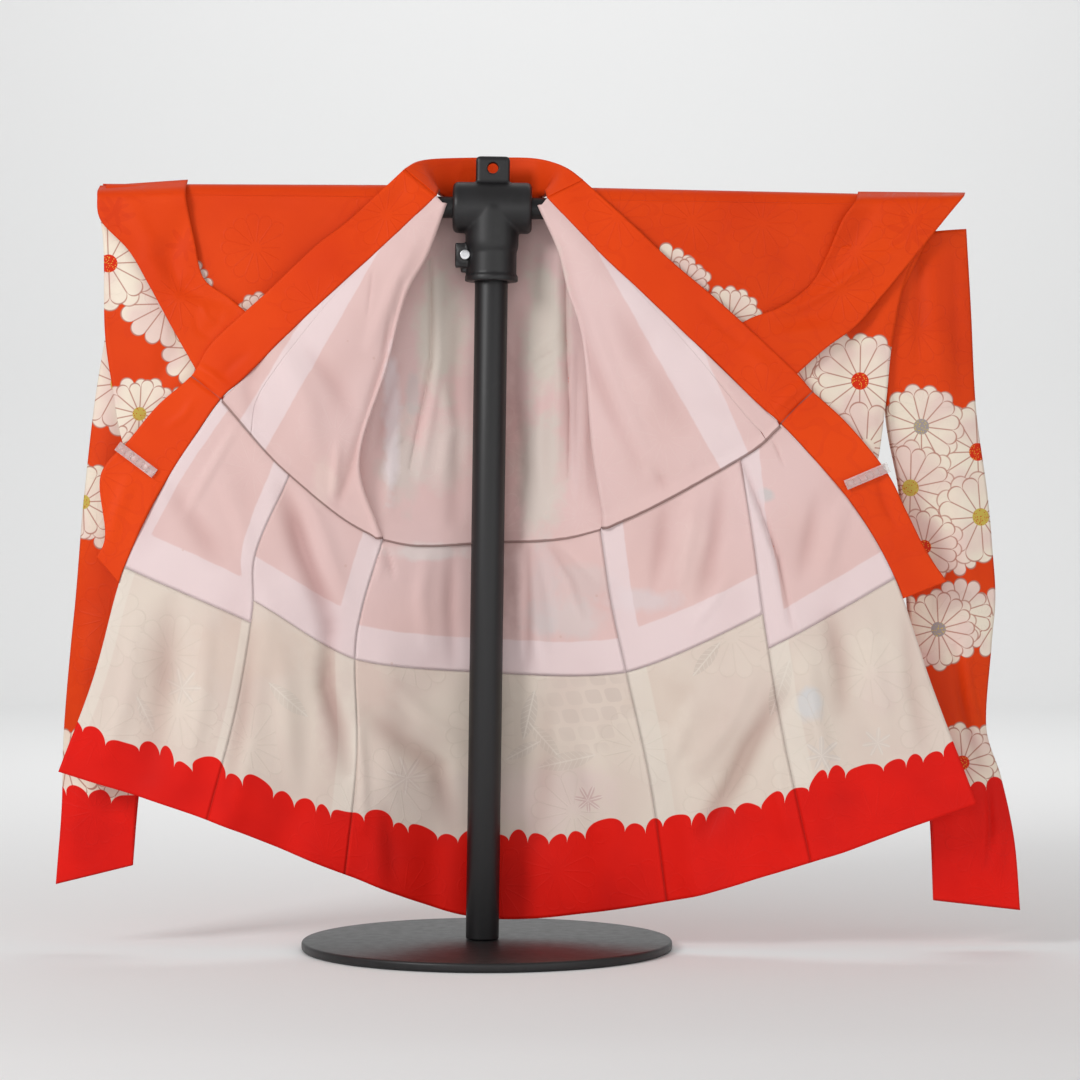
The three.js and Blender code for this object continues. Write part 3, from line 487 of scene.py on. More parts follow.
class Value:
    """A value on its way through a shader. Arithmetic on it adds the nodes that work it out."""

    def __init__(self, tree, socket):
        self.tree, self.socket = tree, socket

    def output(self, name):
        return Value(self.tree, self.socket.node.outputs[name])

    def math(self, operation, *values, clamp=False):
        settings = {"operation": operation, "use_clamp": clamp}
        return make(self.tree, "ShaderNodeMath", settings, dict(enumerate(values)))

    def __add__(self, other):
        return self.math("ADD", self, other)

    def __sub__(self, other):
        return self.math("SUBTRACT", self, other)

    def __rsub__(self, other):
        return self.math("SUBTRACT", other, self)

    def __mul__(self, other):
        return self.math("MULTIPLY", self, other)

    def __truediv__(self, other):
        return self.math("DIVIDE", self, other)

    def __rtruediv__(self, other):
        return self.math("DIVIDE", other, self)

    def __pow__(self, other):
        return self.math("POWER", self, other)

    def __lt__(self, other):
        return self.math("LESS_THAN", self, other)

    def __gt__(self, other):
        return self.math("GREATER_THAN", self, other)

    def __abs__(self):
        return self.math("ABSOLUTE", self)

    __radd__, __rmul__ = __add__, __mul__

    def floor(self):
        return self.math("FLOOR", self)

    def sine(self):
        return self.math("SINE", self)

    def clamped(self):
        return self.math("ADD", self, 0.0, clamp=True)

    def most(self, other):
        return self.math("MAXIMUM", self, other)

    def inside(self, limit, soft):
        """1 well under the limit and 0 well over it, with an edge that is soft mm wide."""
        return ((limit - self) / soft + 0.5).clamped()


def make(tree, kind, settings=None, inputs=None, output=0):
    """One node: its settings first, then the values or links of its sockets."""
    node = tree.nodes.new(kind)
    for key, value in (settings or {}).items():
        setattr(node, key, value)
    for key, value in (inputs or {}).items():
        if isinstance(value, Value):
            tree.links.new(value.socket, node.inputs[key])
        else:
            node.inputs[key].default_value = value
    return Value(tree, node.outputs[output])


def blend(tree, factor, a, b):
    """Colour a where factor is 0 and colour b where it is 1."""
    return make(tree, "ShaderNodeMix", {"data_type": "RGBA"}, {0: factor, 6: a, 7: b}, output=2)


def noise(tree, vector, scale, detail=2.0, roughness=0.5):
    return make(tree, "ShaderNodeTexNoise", None,
                {"Vector": vector, "Scale": scale, "Detail": detail, "Roughness": roughness})


def attribute(tree, name):
    return make(tree, "ShaderNodeAttribute", {"attribute_name": name}, output="Fac")


def plane_of(tree):
    """The object's own coordinates, and its x and z in millimetres."""
    own = make(tree, "ShaderNodeTexCoord", output="Object")
    split = make(tree, "ShaderNodeSeparateXYZ", None, {0: own})
    return own, split.output("X") / MM, split.output("Z") / MM


def group_inputs(tree, kind, names):
    for name in names:
        tree.interface.new_socket(name=name, in_out=kind, socket_type="NodeSocketFloat")


def new_group(name, inputs, outputs):
    tree = bpy.data.node_groups.new(name, "ShaderNodeTree")
    group_inputs(tree, "INPUT", inputs)
    group_inputs(tree, "OUTPUT", outputs)
    enter, leave = tree.nodes.new("NodeGroupInput"), tree.nodes.new("NodeGroupOutput")
    return tree, [Value(tree, enter.outputs[name]) for name in inputs], leave


def chrysanthemum_group():
    """One ring of round-tipped petals about a heart: masks of its petals, its drawn lines and its heart."""
    names = ("X", "Z", "Centre X", "Centre Z", "Radius", "Heart", "Petals", "Turn")
    tree, (x, z, cx, cz, radius, heart, petals, turn), leave = new_group(
        "chrysanthemum", names, ("Petal", "Line", "Heart mask", "Tone"))
    dx, dz = x - cx, z - cz
    r = (dx * dx + dz * dz) ** 0.5
    spin = dz.math("ARCTAN2", dz, dx) / (2 * math.pi) * petals + turn
    cell = spin.floor()
    aside = abs(spin - cell - 0.5) * 2
    number = cell.math("FLOORED_MODULO", cell, petals) + cx * 0.37
    chance = make(tree, "ShaderNodeTexWhiteNoise", {"noise_dimensions": "1D"}, {"W": number})
    tip = radius * (0.88 + chance * 0.12) * (0.76 + 0.24 * (1 - aside * aside).most(0.0) ** 0.5)
    petal = r.inside(tip, 0.4)
    gap = (1 - aside) * math.pi * r / petals
    between = gap.inside(0.62, 0.5) * petal * (r > heart)
    rim = abs(r - tip).inside(0.8, 0.6)
    results = (petal, between.most(rim), r.inside(heart, 0.4), (r / radius).clamped())
    for socket, value in zip(leave.inputs, results):
        tree.links.new(value.socket, socket)
    return tree


def leaf_group():
    """A seven-pointed maple leaf, or a long leaf with veins where Long is 1."""
    names = ("X", "Z", "Centre X", "Centre Z", "Size", "Turn", "Long")
    tree, (x, z, cx, cz, size, turn, long), leave = new_group("leaf", names, ("Leaf", "Vein"))
    dx, dz = x - cx, z - cz
    cos, sin = turn.math("COSINE", turn), turn.sine()
    ahead, aside = dx * cos + dz * sin, dz * cos - dx * sin
    r = (dx * dx + dz * dz) ** 0.5
    angle = aside.math("ARCTAN2", aside, ahead)
    point = abs((angle * 3.5).math("COSINE", angle * 3.5))
    maple = size * (0.34 + 0.66 * point ** 2.2) * (0.72 + 0.28 * (angle * 0.5).math("COSINE", angle * 0.5))
    maple_vein = (r * (1 - point)).inside(size * 0.012, 0.5) * r.inside(maple, 0.4)
    width = size * 0.3 * (1 - (ahead / size) * (ahead / size)).most(0.0)
    blade = abs(aside).inside(width, 0.5)
    ribs = ((abs(aside) * 0.8 + ahead) * 0.55).sine()
    blade_vein = (abs(aside).inside(0.7, 0.5)).most(abs(ribs) < 0.18)
    results = (
        r.inside(maple, 0.5) * (1 - long) + blade * long,
        maple_vein * (1 - long) + blade_vein * blade * long,
    )
    for socket, value in zip(leave.inputs, results):
        tree.links.new(value.socket, socket)
    return tree


THREADS = 0.0011  # width in metres of two neighbouring threads


def weave_group():
    """Height of a plain silk weave with slubs, from the piece's own UV map in metres."""
    tree, _, leave = new_group("weave", (), ("Height",))
    uv = make(tree, "ShaderNodeUVMap", {"uv_map": "cloth"})
    split = make(tree, "ShaderNodeSeparateXYZ", None, {0: uv})
    warp, weft = ((split.output(k) * (2 * math.pi / THREADS)).sine() for k in ("X", "Y"))
    stretched = make(tree, "ShaderNodeMapping", None, {"Vector": uv, "Scale": (420.0, 60.0, 1.0)})
    slub = noise(tree, stretched, 1.0, 2.0)
    grain = noise(tree, uv, 900.0, 2.0)
    height = warp * weft * 0.25 + slub * 0.5 + grain * 0.5
    tree.links.new(height.socket, leave.inputs["Height"])
    return tree


def shared(maker):
    """A node group that is made once."""
    return bpy.data.node_groups.get(maker.__name__.removesuffix("_group")) or maker()


def use_group(tree, maker, inputs=None, output=0):
    return make(tree, "ShaderNodeGroup", {"node_tree": shared(maker)}, inputs, output)


PETAL_LINE = srgb(176, 120, 104)
HEARTS = {
    "red": (srgb(208, 42, 8), srgb(225, 165, 60)),
    "grey": (srgb(158, 148, 146), srgb(205, 180, 80)),
    "olive": (srgb(194, 172, 78), srgb(190, 60, 30)),
}


def flower_at(tree, x, z, cx, cz, radius, heart, petals, turn):
    sockets = {"X": x, "Z": z, "Centre X": cx, "Centre Z": cz, "Radius": radius, "Heart": heart,
               "Petals": petals, "Turn": turn}
    return use_group(tree, chrysanthemum_group, sockets)


def leaf_at(tree, x, z, cx, cz, size, turn, long):
    sockets = {"X": x, "Z": z, "Centre X": cx, "Centre Z": cz, "Size": size, "Turn": turn, "Long": long}
    return use_group(tree, leaf_group, sockets)


def print_flowers(tree, colour, own, x, z, flowers):
    """Prints chrysanthemums in order: centre x, z, radius and the heart's colour, or None for one half hidden."""
    cloud = noise(tree, own, 26.0, 1.0)
    petal_colour = blend(tree, ((cloud - 0.42) * 5).clamped(), chosen("petal"), chosen("petal", 0.94, 0.82, 0.88))
    dots = make(tree, "ShaderNodeTexVoronoi", {"voronoi_dimensions": "3D"}, {"Vector": own, "Scale": 560.0})
    dot = dots.output("Distance") < 0.3
    for number, (cx, cz, radius, heart_colour) in enumerate(flowers):
        petals = 12 + number % 3
        heart = radius * 0.19
        rings = ((1.1, 0.5, 0), (0.98, 0.0, 1)) if heart_colour else ((1.05, 0.3, 1),)
        for size, turn, front in rings:
            ring = flower_at(tree, x, z, cx, cz, radius * size, heart, petals, turn + number * 0.31)
            colour = blend(tree, ring.output("Petal"), colour, petal_colour)
            colour = blend(tree, ring.output("Line") * (0.85 if front else 0.7), colour, PETAL_LINE)
            if front and heart_colour:
                disc, spots = HEARTS[heart_colour]
                mask = ring.output("Heart mask")
                colour = blend(tree, mask, colour, blend(tree, dot, disc, spots))
    return colour


def flower_field(tree, x, z, pitch, radius, shift):
    """Chrysanthemums scattered without a regular order: the nearest one's masks and a number of its own."""
    vector = make(tree, "ShaderNodeCombineXYZ", None, {"X": x / pitch + shift, "Y": z / pitch + shift})
    scatter = make(tree, "ShaderNodeTexVoronoi", {"voronoi_dimensions": "2D"},
                   {"Vector": vector, "Scale": 1.0, "Randomness": 0.72})
    centre = make(tree, "ShaderNodeSeparateXYZ", None, {0: scatter.output("Position")})
    cx, cz = ((centre.output(k) - shift) * pitch for k in ("X", "Y"))
    flower = flower_at(tree, x, z, cx, cz, radius, radius * 0.17, 13.0, 0.0)
    chance = make(tree, "ShaderNodeSeparateColor", None, {0: scatter.output("Color")})
    return flower, chance


def material(name, viewport):
    made = bpy.data.materials.new(name)
    made.use_nodes = True
    made.node_tree.nodes.clear()
    made.diffuse_color = viewport
    return made, made.node_tree


def surface(tree, base, normal=None, roughness=0.5, settings=None):
    """The last node: what varies is linked, and what is the same all over is set on its own socket."""
    inputs = {"Base Color": base, "Roughness": roughness, **(settings or {})}
    if normal is not None:
        inputs["Normal"] = normal
    finish = make(tree, "ShaderNodeBsdfPrincipled", None, inputs)
    out = tree.nodes.new("ShaderNodeOutputMaterial")
    tree.links.new(finish.socket, out.inputs["Surface"])


SILK = {"Sheen Weight": 0.03, "Sheen Roughness": 0.5, "Specular IOR Level": 0.14}


# Painted shade in the creases' hollows: its strength at the deepest, and its colour
HOLLOW_SHADE, CREASE_SHADE_TINT = 0.55, srgb(196, 168, 166)


def silk_surface(tree, colour, figure, roughness, seam_line=0.35):
    """Silk's last steps: its woven figure, its weave, painted shade in its creases' hollows, a dark tuck line that is
    partly seam and partly painted shadow, and the dip along its sewn edges.
    """
    seam, tuck = attribute(tree, "seam"), attribute(tree, "tuck")
    own, _, _ = plane_of(tree)
    wobble = noise(tree, own, 160.0, 2.0) * 1.2
    weave = use_group(tree, weave_group)
    dip = (seam / 2.4).clamped()
    height = figure * 0.25 + weave * 0.12 + dip * 0.9
    bump = make(tree, "ShaderNodeBump", None, {"Strength": 0.5, "Distance": 0.0012, "Height": height})
    shade = {"data_type": "RGBA", "blend_type": "MULTIPLY"}
    # Painted shade: the colour is darkened where the cloth lies in a crease's hollow
    hollow = attribute(tree, "hollow") * HOLLOW_SHADE
    colour = make(tree, "ShaderNodeMix", shade, {0: hollow, 6: colour, 7: CREASE_SHADE_TINT}, output=2)
    line = (seam + wobble).inside(1.15, 0.7) * seam_line
    colour = blend(tree, line, colour, blend(tree, 0.75, colour, srgb(120, 80, 70)))
    # A dark line along the tuck and the collar's seams: partly the seam itself, partly painted shadow where one layer
    # folds over the next
    tuck_seam_and_shade = (tuck + wobble * 0.7).inside(1.35, 0.8)
    colour = blend(tree, tuck_seam_and_shade * 0.75, colour, srgb(128, 96, 90))
    patchy = noise(tree, own, 34.0, 3.0)
    surface(tree, colour, bump, roughness - figure * 0.1 + (patchy - 0.5) * 0.12, SILK)


def figured(tree, x, z):
    """Tone-on-tone figure woven in the silk: outlined blooms and drifting lines, from 0 to 1."""
    bloom, chance = flower_field(tree, x, z, 74.0, 36.0, 3.7)
    shown = chance.output("Red") > 0.45
    flow = make(tree, "ShaderNodeCombineXYZ", None, {"X": x / 60, "Y": z / 44})
    drift = noise(tree, flow, 1.0, 1.0)
    ripple = (drift * 42.0).sine()
    lines = (ripple > 0.72) * (chance.output("Green") > 0.4) * (1 - bloom.output("Petal") * shown)
    return (bloom.output("Line") * shown).most(lines * 0.7)


def chosen(name, red=1.0, green=1.0, blue=1.0):
    """A colour from the settings, with each channel times a share of its own."""
    r, g, b, a = getattr(settings(), name)
    return (r * red, g * green, b * blue, a)


def orange_ground(tree, own, x, z, share=1.0):
    light, deep = chosen("orange", share, share), chosen("orange", share * 0.85, share * 0.62)
    figure = figured(tree, x, z)
    cloud = noise(tree, own, 9.0, 2.0)
    ground = blend(tree, ((cloud - 0.35) * 2).clamped(), light, deep)
    return blend(tree, figure * 0.28, ground, deep), figure


def scallops(tree, along, period, height):
    """Height of a row of uneven round scallops at each place along it, in mm."""
    wander = noise(tree, make(tree, "ShaderNodeCombineXYZ", None, {"X": along / 62.0}), 1.0, 1.0)
    turn = along / period + wander * 2.6
    number = turn.floor()
    part = turn - number
    arch = (1 - (part * 2 - 1) * (part * 2 - 1)).most(0.0) ** 0.55
    chance = make(tree, "ShaderNodeTexWhiteNoise", {"noise_dimensions": "1D"}, {"W": number})
    step = make(tree, "ShaderNodeTexWhiteNoise", {"noise_dimensions": "1D"}, {"W": number + 31.7})
    slow = noise(tree, make(tree, "ShaderNodeCombineXYZ", None, {"X": along / 80.0 + 7.0}), 1.0, 1.0)
    return arch * height * (0.75 + chance * 0.5) + (step - 0.5) * height * 0.75 + (slow - 0.5) * height * 3.4


def red_border(tree, colour, over, along, own):
    """Dyed red below a scalloped edge; over is the height above the band's middle line, in mm."""
    edge = scallops(tree, along, 23.0, 10.5)
    mask = (over - edge).inside(0.0, 0.7)
    cloud = noise(tree, own, 14.0, 2.0)
    red = blend(tree, ((cloud - 0.4) * 3).clamped(), chosen("red"), chosen("red", 0.86, 0.7))
    return blend(tree, mask, colour, red), mask


def print_material(name, flowers, border=None, cream=None):
    """Orange silk with its own printed flowers. border is the height and slope of a red foot."""
    made, tree = material(name, chosen("orange"))
    own, x, z = plane_of(tree)
    colour, figure = orange_ground(tree, own, x, z)
    if cream:
        low, high, slope = cream
        middle = z - x * slope
        edge = scallops(tree, x, 21.0, 8.0)
        zone = (middle - edge).inside(high, 0.8) * (1 - middle.inside(low, 0.8))
        colour = blend(tree, zone, colour, chosen("petal"))
        colour = blend(tree, abs(middle - edge - high).inside(0.6, 0.5), colour, PETAL_LINE)
    if flowers:
        colour = print_flowers(tree, colour, own, x, z, flowers)
    if border:
        height, slope = border
        colour, _ = red_border(tree, colour, z - x * slope - height, x, own)
    silk_surface(tree, colour, figure, 0.52)
    return made


def body_material():
    """The outside of the body: blooms in drifts on orange, thick above the dyed red hem."""
    made, tree = material("printed_silk_body", chosen("orange"))
    own, x, z = plane_of(tree)
    colour, figure = orange_ground(tree, own, x, z)
    cloud = noise(tree, own, 26.0, 1.0)
    petal_colour = blend(tree, ((cloud - 0.42) * 5).clamped(), chosen("petal"), chosen("petal", 0.94, 0.82, 0.88))
    flower, chance = flower_field(tree, x, z, 88.0, 50.0, 11.2)
    low = ((330.0 - z) / 160.0).clamped()
    y = make(tree, "ShaderNodeSeparateXYZ", None, {0: own}).output("Y") / MM
    fronts = (y < -5.0) * (z > 560.0)
    drift = (chance.output("Red") < (0.3 + low * 0.6)) * (1 - fronts)
    colour = blend(tree, flower.output("Petal") * drift, colour, petal_colour)
    colour = blend(tree, flower.output("Line") * drift * 0.85, colour, PETAL_LINE)
    disc = blend(tree, chance.output("Green") > 0.5, HEARTS["red"][0], HEARTS["olive"][0])
    disc = blend(tree, chance.output("Blue") > 0.72, disc, HEARTS["grey"][0])
    colour = blend(tree, flower.output("Heart mask") * drift, colour, disc)
    colour, _ = red_border(tree, colour, attribute(tree, "red"), x, own)
    silk_surface(tree, colour, figure, 0.52)
    return made


PALE = srgb(231, 214, 215)
# Where the outer cloth shows through a lining, and a few patches of painted shade: centre x, z, half-width,
# half-height, colour, strength
PINK_SHOW_THROUGH_AND_SHADE = [
    (-47, 618, 26, 74, srgb(216, 208, 196), 0.85), (-87, 488, 22, 46, srgb(206, 198, 190), 0.7),
    (-42, 498, 26, 40, srgb(218, 206, 198), 0.6), (58, 618, 24, 74, srgb(214, 206, 194), 0.85),
    (53, 478, 26, 62, srgb(212, 204, 194), 0.75), (-62, 396, 46, 9, srgb(224, 214, 210), 0.7),
    (275, 453, 10, 8, srgb(182, 196, 196), 0.5), (-75, 558, 7, 22, srgb(194, 194, 192), 0.4),
    (83, 328, 40, 22, srgb(208, 206, 204), 0.45), (100, 365, 30, 20, srgb(208, 200, 198), 0.35),
    # (21, 450) is painted shadow of the pole, darker pink on the back lining beside it
    (58, 350, 14, 60, srgb(200, 196, 196), 0.3), (21, 450, 13, 130, srgb(186, 146, 142), 0.5),
    (-160, 466, 12, 22, srgb(228, 206, 196), 0.4), (-96, 520, 9, 70, srgb(232, 220, 222), 0.7),
    (88, 520, 6, 80, srgb(230, 204, 202), 0.4), (205, 385, 16, 50, srgb(230, 202, 196), 0.4),
    (150, 348, 40, 12, srgb(214, 208, 210), 0.5),
]
CREAM_SHOW_THROUGH_AND_SHADE = [
    (-240, 300, 60, 40, srgb(216, 196, 182), 0.6), (-118, 268, 30, 34, srgb(212, 186, 176), 0.55),
    # (-150, 240) is painted shade in the deep trough of the left front's hem lining
    (-150, 240, 18, 70, srgb(204, 176, 170), 0.45), (170, 252, 36, 30, srgb(214, 196, 182), 0.5),
    (220, 205, 30, 44, srgb(212, 194, 182), 0.5), (330, 240, 30, 70, srgb(214, 200, 188), 0.5),
    (60, 150, 70, 36, srgb(222, 200, 196), 0.5), (318, 246, 12, 18, srgb(200, 208, 216), 0.55),
    (-60, 150, 60, 34, srgb(214, 198, 190), 0.5), (392, 262, 20, 30, srgb(220, 200, 192), 0.4),
    (30, 214, 44, 60, srgb(206, 196, 184), 0.35),
]


def patches(tree, colour, own, x, z, spots):
    """Soft, cloud-edged patches of other colours, some of them painted shade."""
    cloud = noise(tree, own, 38.0, 3.0, 0.6)
    for cx, cz, wide, high, tint, strength in spots:
        dx, dz = (x - cx) / wide, (z - cz) / high
        off = (dx * dx + dz * dz) ** 0.5 + (cloud - 0.5) * 1.5
        colour = blend(tree, off.inside(0.9, 0.6) * strength, colour, tint)
    return colour


def lining_material():
    """Pink silk, thin enough for the outer cloth to show through, paler where seams double it."""
    made, tree = material("pink_lining", chosen("pink"))
    own, x, z = plane_of(tree)
    warm = noise(tree, own, 7.0, 2.0)
    colour = blend(tree, ((warm - 0.35) * 2.4).clamped(), chosen("pink"), chosen("pink", 0.96, 0.92, 0.89))
    # Patches where the outer cloth shows through, and one of painted shadow beside the pole
    colour = patches(tree, colour, own, x, z, PINK_SHOW_THROUGH_AND_SHADE)
    bloom, chance = flower_field(tree, x, z, 82.0, 40.0, 7.3)
    behind = z > 415.0
    ghost = bloom.output("Line") * (chance.output("Red") > 0.5) * behind
    colour = blend(tree, ghost * 0.06, colour, srgb(236, 226, 216))
    doubled = (attribute(tree, "pale") + (noise(tree, own, 60.0, 2.0) - 0.5) * 2.4).inside(0.0, 1.6)
    colour = blend(tree, (1 - doubled) * 0.74, colour, PALE)
    specks = make(tree, "ShaderNodeTexVoronoi", {"voronoi_dimensions": "3D"}, {"Vector": own, "Scale": 24.0})
    speck = specks.output("Distance") < 0.035
    colour = blend(tree, speck * 0.25, colour, srgb(196, 150, 128))
    silk_surface(tree, colour, ghost * 0.25, 0.56, 0.14)
    return made


def hem_lining_material():
    """Cream silk with faint figures, dyed red below a scalloped edge."""
    made, tree = material("cream_hem_lining", chosen("cream"))
    own, x, z = plane_of(tree)
    warm = noise(tree, own, 8.0, 3.0)
    colour = blend(tree, ((warm - 0.4) * 2.4).clamped(), chosen("cream"), chosen("cream", 0.9, 0.83, 0.86))
    # Patches where the outer cloth shows through, and one of painted shade in a trough
    colour = patches(tree, colour, own, x, z, CREAM_SHOW_THROUGH_AND_SHADE)
    bloom, chance = flower_field(tree, x, z, 76.0, 44.0, 2.4)
    shown = chance.output("Red") > 0.35
    figure = bloom.output("Line") * shown
    colour = blend(tree, bloom.output("Petal") * shown * 0.12, colour, srgb(232, 222, 208))
    colour = blend(tree, figure * 0.16, colour, srgb(196, 182, 168))
    for cx, cz, size, turn, long, tint, strength in HEM_LEAVES:
        leaf = leaf_at(tree, x, z, cx, cz, size, turn, long)
        colour = blend(tree, leaf.output("Leaf") * strength, colour, tint)
        colour = blend(tree, leaf.output("Vein") * strength * 0.9, colour, srgb(236, 228, 218))
    colour = lozenges(tree, colour, x, z)
    doubled = attribute(tree, "pale").inside(0.0, 1.6)
    colour = blend(tree, (1 - doubled) * 0.5, colour, srgb(228, 220, 208))
    colour, red = red_border(tree, colour, attribute(tree, "red"), x, own)
    silk_surface(tree, colour, figure * 0.7, 0.56, 0.14)
    return made


HEM_LEAVES = [
    (101, 147, 16, 1.2, 0.0, srgb(202, 170, 166), 0.75), (42, 232, 26, 1.35, 1.0, srgb(198, 186, 176), 0.5),
    (58, 206, 24, 2.3, 1.0, srgb(204, 192, 180), 0.45), (36, 196, 20, 0.5, 1.0, srgb(204, 192, 182), 0.45),
    (80, 186, 30, 0.25, 1.0, srgb(204, 190, 178), 0.4), (218, 290, 22, 0.9, 1.0, srgb(200, 186, 174), 0.5),
    (290, 262, 30, 1.25, 1.0, srgb(200, 186, 174), 0.5), (330, 196, 20, 0.7, 0.0, srgb(206, 198, 192), 0.45),
    (386, 208, 16, 2.4, 0.0, srgb(212, 204, 196), 0.4), (-80, 170, 22, 1.9, 0.0, srgb(208, 190, 182), 0.4),
    (-196, 250, 26, 2.4, 1.0, srgb(206, 196, 184), 0.4), (-300, 262, 20, 0.9, 0.0, srgb(212, 200, 190), 0.4),
    (222, 128, 15, 1.7, 0.0, srgb(206, 190, 184), 0.45), (-336, 236, 20, 2.0, 1.0, srgb(206, 194, 184), 0.35),
]
LOZENGE = {"x": 100.0, "z": 242.0, "pitch": 20.0, "reach": 44.0}


def lozenges(tree, colour, x, z):
    """A small field of round-cornered checks, faint, as a woven ground."""
    dx, dz = x - LOZENGE["x"], z - LOZENGE["z"]
    u, v = (dx + dz * 0.35) / LOZENGE["pitch"], (dz - dx * 0.1) / (LOZENGE["pitch"] * 0.9)
    row = v.floor()
    shift = u + row * 0.5
    across, up = abs(shift - shift.floor() - 0.5) * 2, abs(v - row - 0.5) * 2
    tile = (across ** 4 + up ** 4).inside(0.4, 0.12)
    near = ((dx * dx + dz * dz) ** 0.5).inside(LOZENGE["reach"], 14.0)
    even = make(tree, "ShaderNodeTexWhiteNoise", {"noise_dimensions": "2D"},
                {"Vector": make(tree, "ShaderNodeCombineXYZ", None, {"X": shift.floor(), "Y": row})})
    return blend(tree, tile * near * (0.15 + 0.4 * even), colour, srgb(204, 188, 178))


def collar_material():
    made, tree = material("orange_collar_silk", chosen("orange"))
    own, x, z = plane_of(tree)
    colour, figure = orange_ground(tree, own, x, z, 1.05)
    silk_surface(tree, colour, figure * 0.8, 0.5)
    return made


def plain_orange_material():
    made, tree = material("orange_silk", chosen("orange"))
    own, x, z = plane_of(tree)
    colour, figure = orange_ground(tree, own, x, z)
    for cx, cz, size, turn in ((-372, 724, 26, 1.2), (-368, 736, 18, 4.0), (-300, 700, 20, 2.2), (420, 712, 24, 1.9)):
        leaf = leaf_at(tree, x, z, cx, cz, size, turn, 0.0)
        colour = blend(tree, leaf.output("Leaf") * 0.22, colour, srgb(196, 42, 2))
    silk_surface(tree, colour, figure, 0.52)
    return made


def black_material():
    """Satin black over steel tube and moulded joint, with a fine orange-peel and worn, dusty streaks."""
    made, tree = material("black_satin", srgb(35, 33, 36))
    own, _, _ = plane_of(tree)
    peel = noise(tree, own, 1400.0, 2.0)
    long = make(tree, "ShaderNodeMapping", None, {"Vector": own, "Scale": (90.0, 90.0, 5.0)})
    streak = noise(tree, long, 1.0, 3.0)
    dust = noise(tree, own, 22.0, 4.0, 0.65)
    colour = blend(tree, ((streak - 0.45) * 2).clamped(), srgb(15, 14, 16), srgb(26, 25, 28))
    colour = blend(tree, ((dust - 0.62) * 3).clamped() * 0.25, colour, srgb(84, 82, 84))
    bump = make(tree, "ShaderNodeBump", None, {"Strength": 0.25, "Distance": 0.0002, "Height": peel})
    surface(tree, colour, bump, 0.36 + streak * 0.16, {"Specular IOR Level": 0.5})
    return made


def steel_material():
    made, tree = material("zinc_bolt", srgb(196, 196, 198))
    own, _, _ = plane_of(tree)
    turned = noise(tree, make(tree, "ShaderNodeMapping", None, {"Vector": own, "Scale": (900.0, 900.0, 9000.0)}), 1.0)
    colour = blend(tree, turned, srgb(168, 168, 172), srgb(226, 226, 228))
    surface(tree, colour, None, 0.22 + turned * 0.2, {"Metallic": 1.0})
    return made


def clear_material():
    """Clear moulded plastic with a few scuffs."""
    made, tree = material("clear_clip", srgb(240, 224, 216))
    own, _, _ = plane_of(tree)
    scuff = noise(tree, own, 700.0, 4.0, 0.7)
    surface(tree, blend(tree, scuff, srgb(250, 240, 234), srgb(255, 255, 255)), None, 0.08 + scuff * 0.2,
            {"Transmission Weight": 0.72, "IOR": 1.47, "Specular IOR Level": 0.8})
    return made


def floor_material():
    made, tree = material("studio_paper", srgb(238, 236, 236))
    own, _, _ = plane_of(tree)
    grain = noise(tree, own, 60.0, 3.0)
    colour = blend(tree, grain * 0.2, srgb(238, 239, 239), srgb(233, 234, 234))
    surface(tree, colour, None, 0.9, {"Specular IOR Level": 0.1})
    return made


MATERIALS = {}


def finish_of(name):
    """A material that is made when it is first asked for."""
    makers = {
        "body": body_material, "lining": lining_material, "hem": hem_lining_material, "collar": collar_material,
        "plain": plain_orange_material, "black": black_material, "steel": steel_material, "clear": clear_material,
        "floor": floor_material,
    }
    if name not in MATERIALS:
        maker = makers.get(name)
        MATERIALS[name] = maker() if maker else print_material(f"printed_silk_{name}", **PRINTS[name])
    return MATERIALS[name]


# Printed flowers of the sleeves, in the order they are printed: centre x, z, radius, heart
PRINTS = {
    "yoke": {"flowers": [(181, 672, 30, None), (196, 662, 26, "olive"), (241, 628, 33, "olive"), (-226, 630, 24, "red"),
                         (-300, 664, 26, None)]},
    "cuff_left": {"flowers": [(-262, 566, 30, None), (-286, 598, 38, None), (-318, 643, 46, None),
                              (-376, 683, 47, "red"), (-300, 536, 26, None), (-344, 533, 36, "olive"),
                              (-366, 500, 22, None)]},
    "cuff_right": {"flowers": [(330, 592, 34, None), (318, 562, 30, None), (356, 556, 40, None), (340, 524, 40, None),
                               (392, 520, 44, None), (371, 566, 46, "red"), (376, 500, 44, None)]},
    "bag_left": {"flowers": [(-340, 566, 46, None), (-366, 564, 50, "olive"), (-372, 436, 38, None),
                             (-403, 446, 38, "olive"), (-384, 190, 34, None), (-420, 184, 38, None),
                             (-356, 174, 34, None)],
                 "cream": (140.0, 206.0, 0.0), "border": (150.0, 0.0)},
    "bag_right": {"flowers": [(462, 470, 46, None), (456, 430, 44, None), (470, 408, 34, None),
                              (490, 496, 47, "red"), (433, 521, 41, "grey"), (422, 460, 44, "olive"),
                              (493, 431, 46, "olive"), (436, 401, 37, "red"), (508, 326, 36, None),
                              (426, 322, 30, None), (470, 336, 34, None), (450, 319, 39, "grey"),
                              (506, 188, 36, None), (452, 196, 30, None), (474, 186, 38, "red")],
                  "cream": (160.0, 196.0, -0.16), "border": (238.0, -0.16)},
}


# Pieces


PANELS = [
    ("overlap_left", 0, (2.0, 2.11)), ("front_left", 1, (1.82, 2.0)), ("back_left", 2, (2.0, 2.0)),
    ("back_right", 3, (2.0, 2.0)), ("front_right", 4, (2.0, 1.82)), ("overlap_right", 5, (2.18, 2.0)),
]
RED_TOP = [44, 42, 54, 80, 72, 72, 56]  # by seam, height in mm above the hem where the dyed red starts
OUTER_RED = 26.0  # the same band is taller outside
ABOVE_CREAM = [40, 45, 35, 35, 40, 30]  # by panel, the pale band over the cream seam
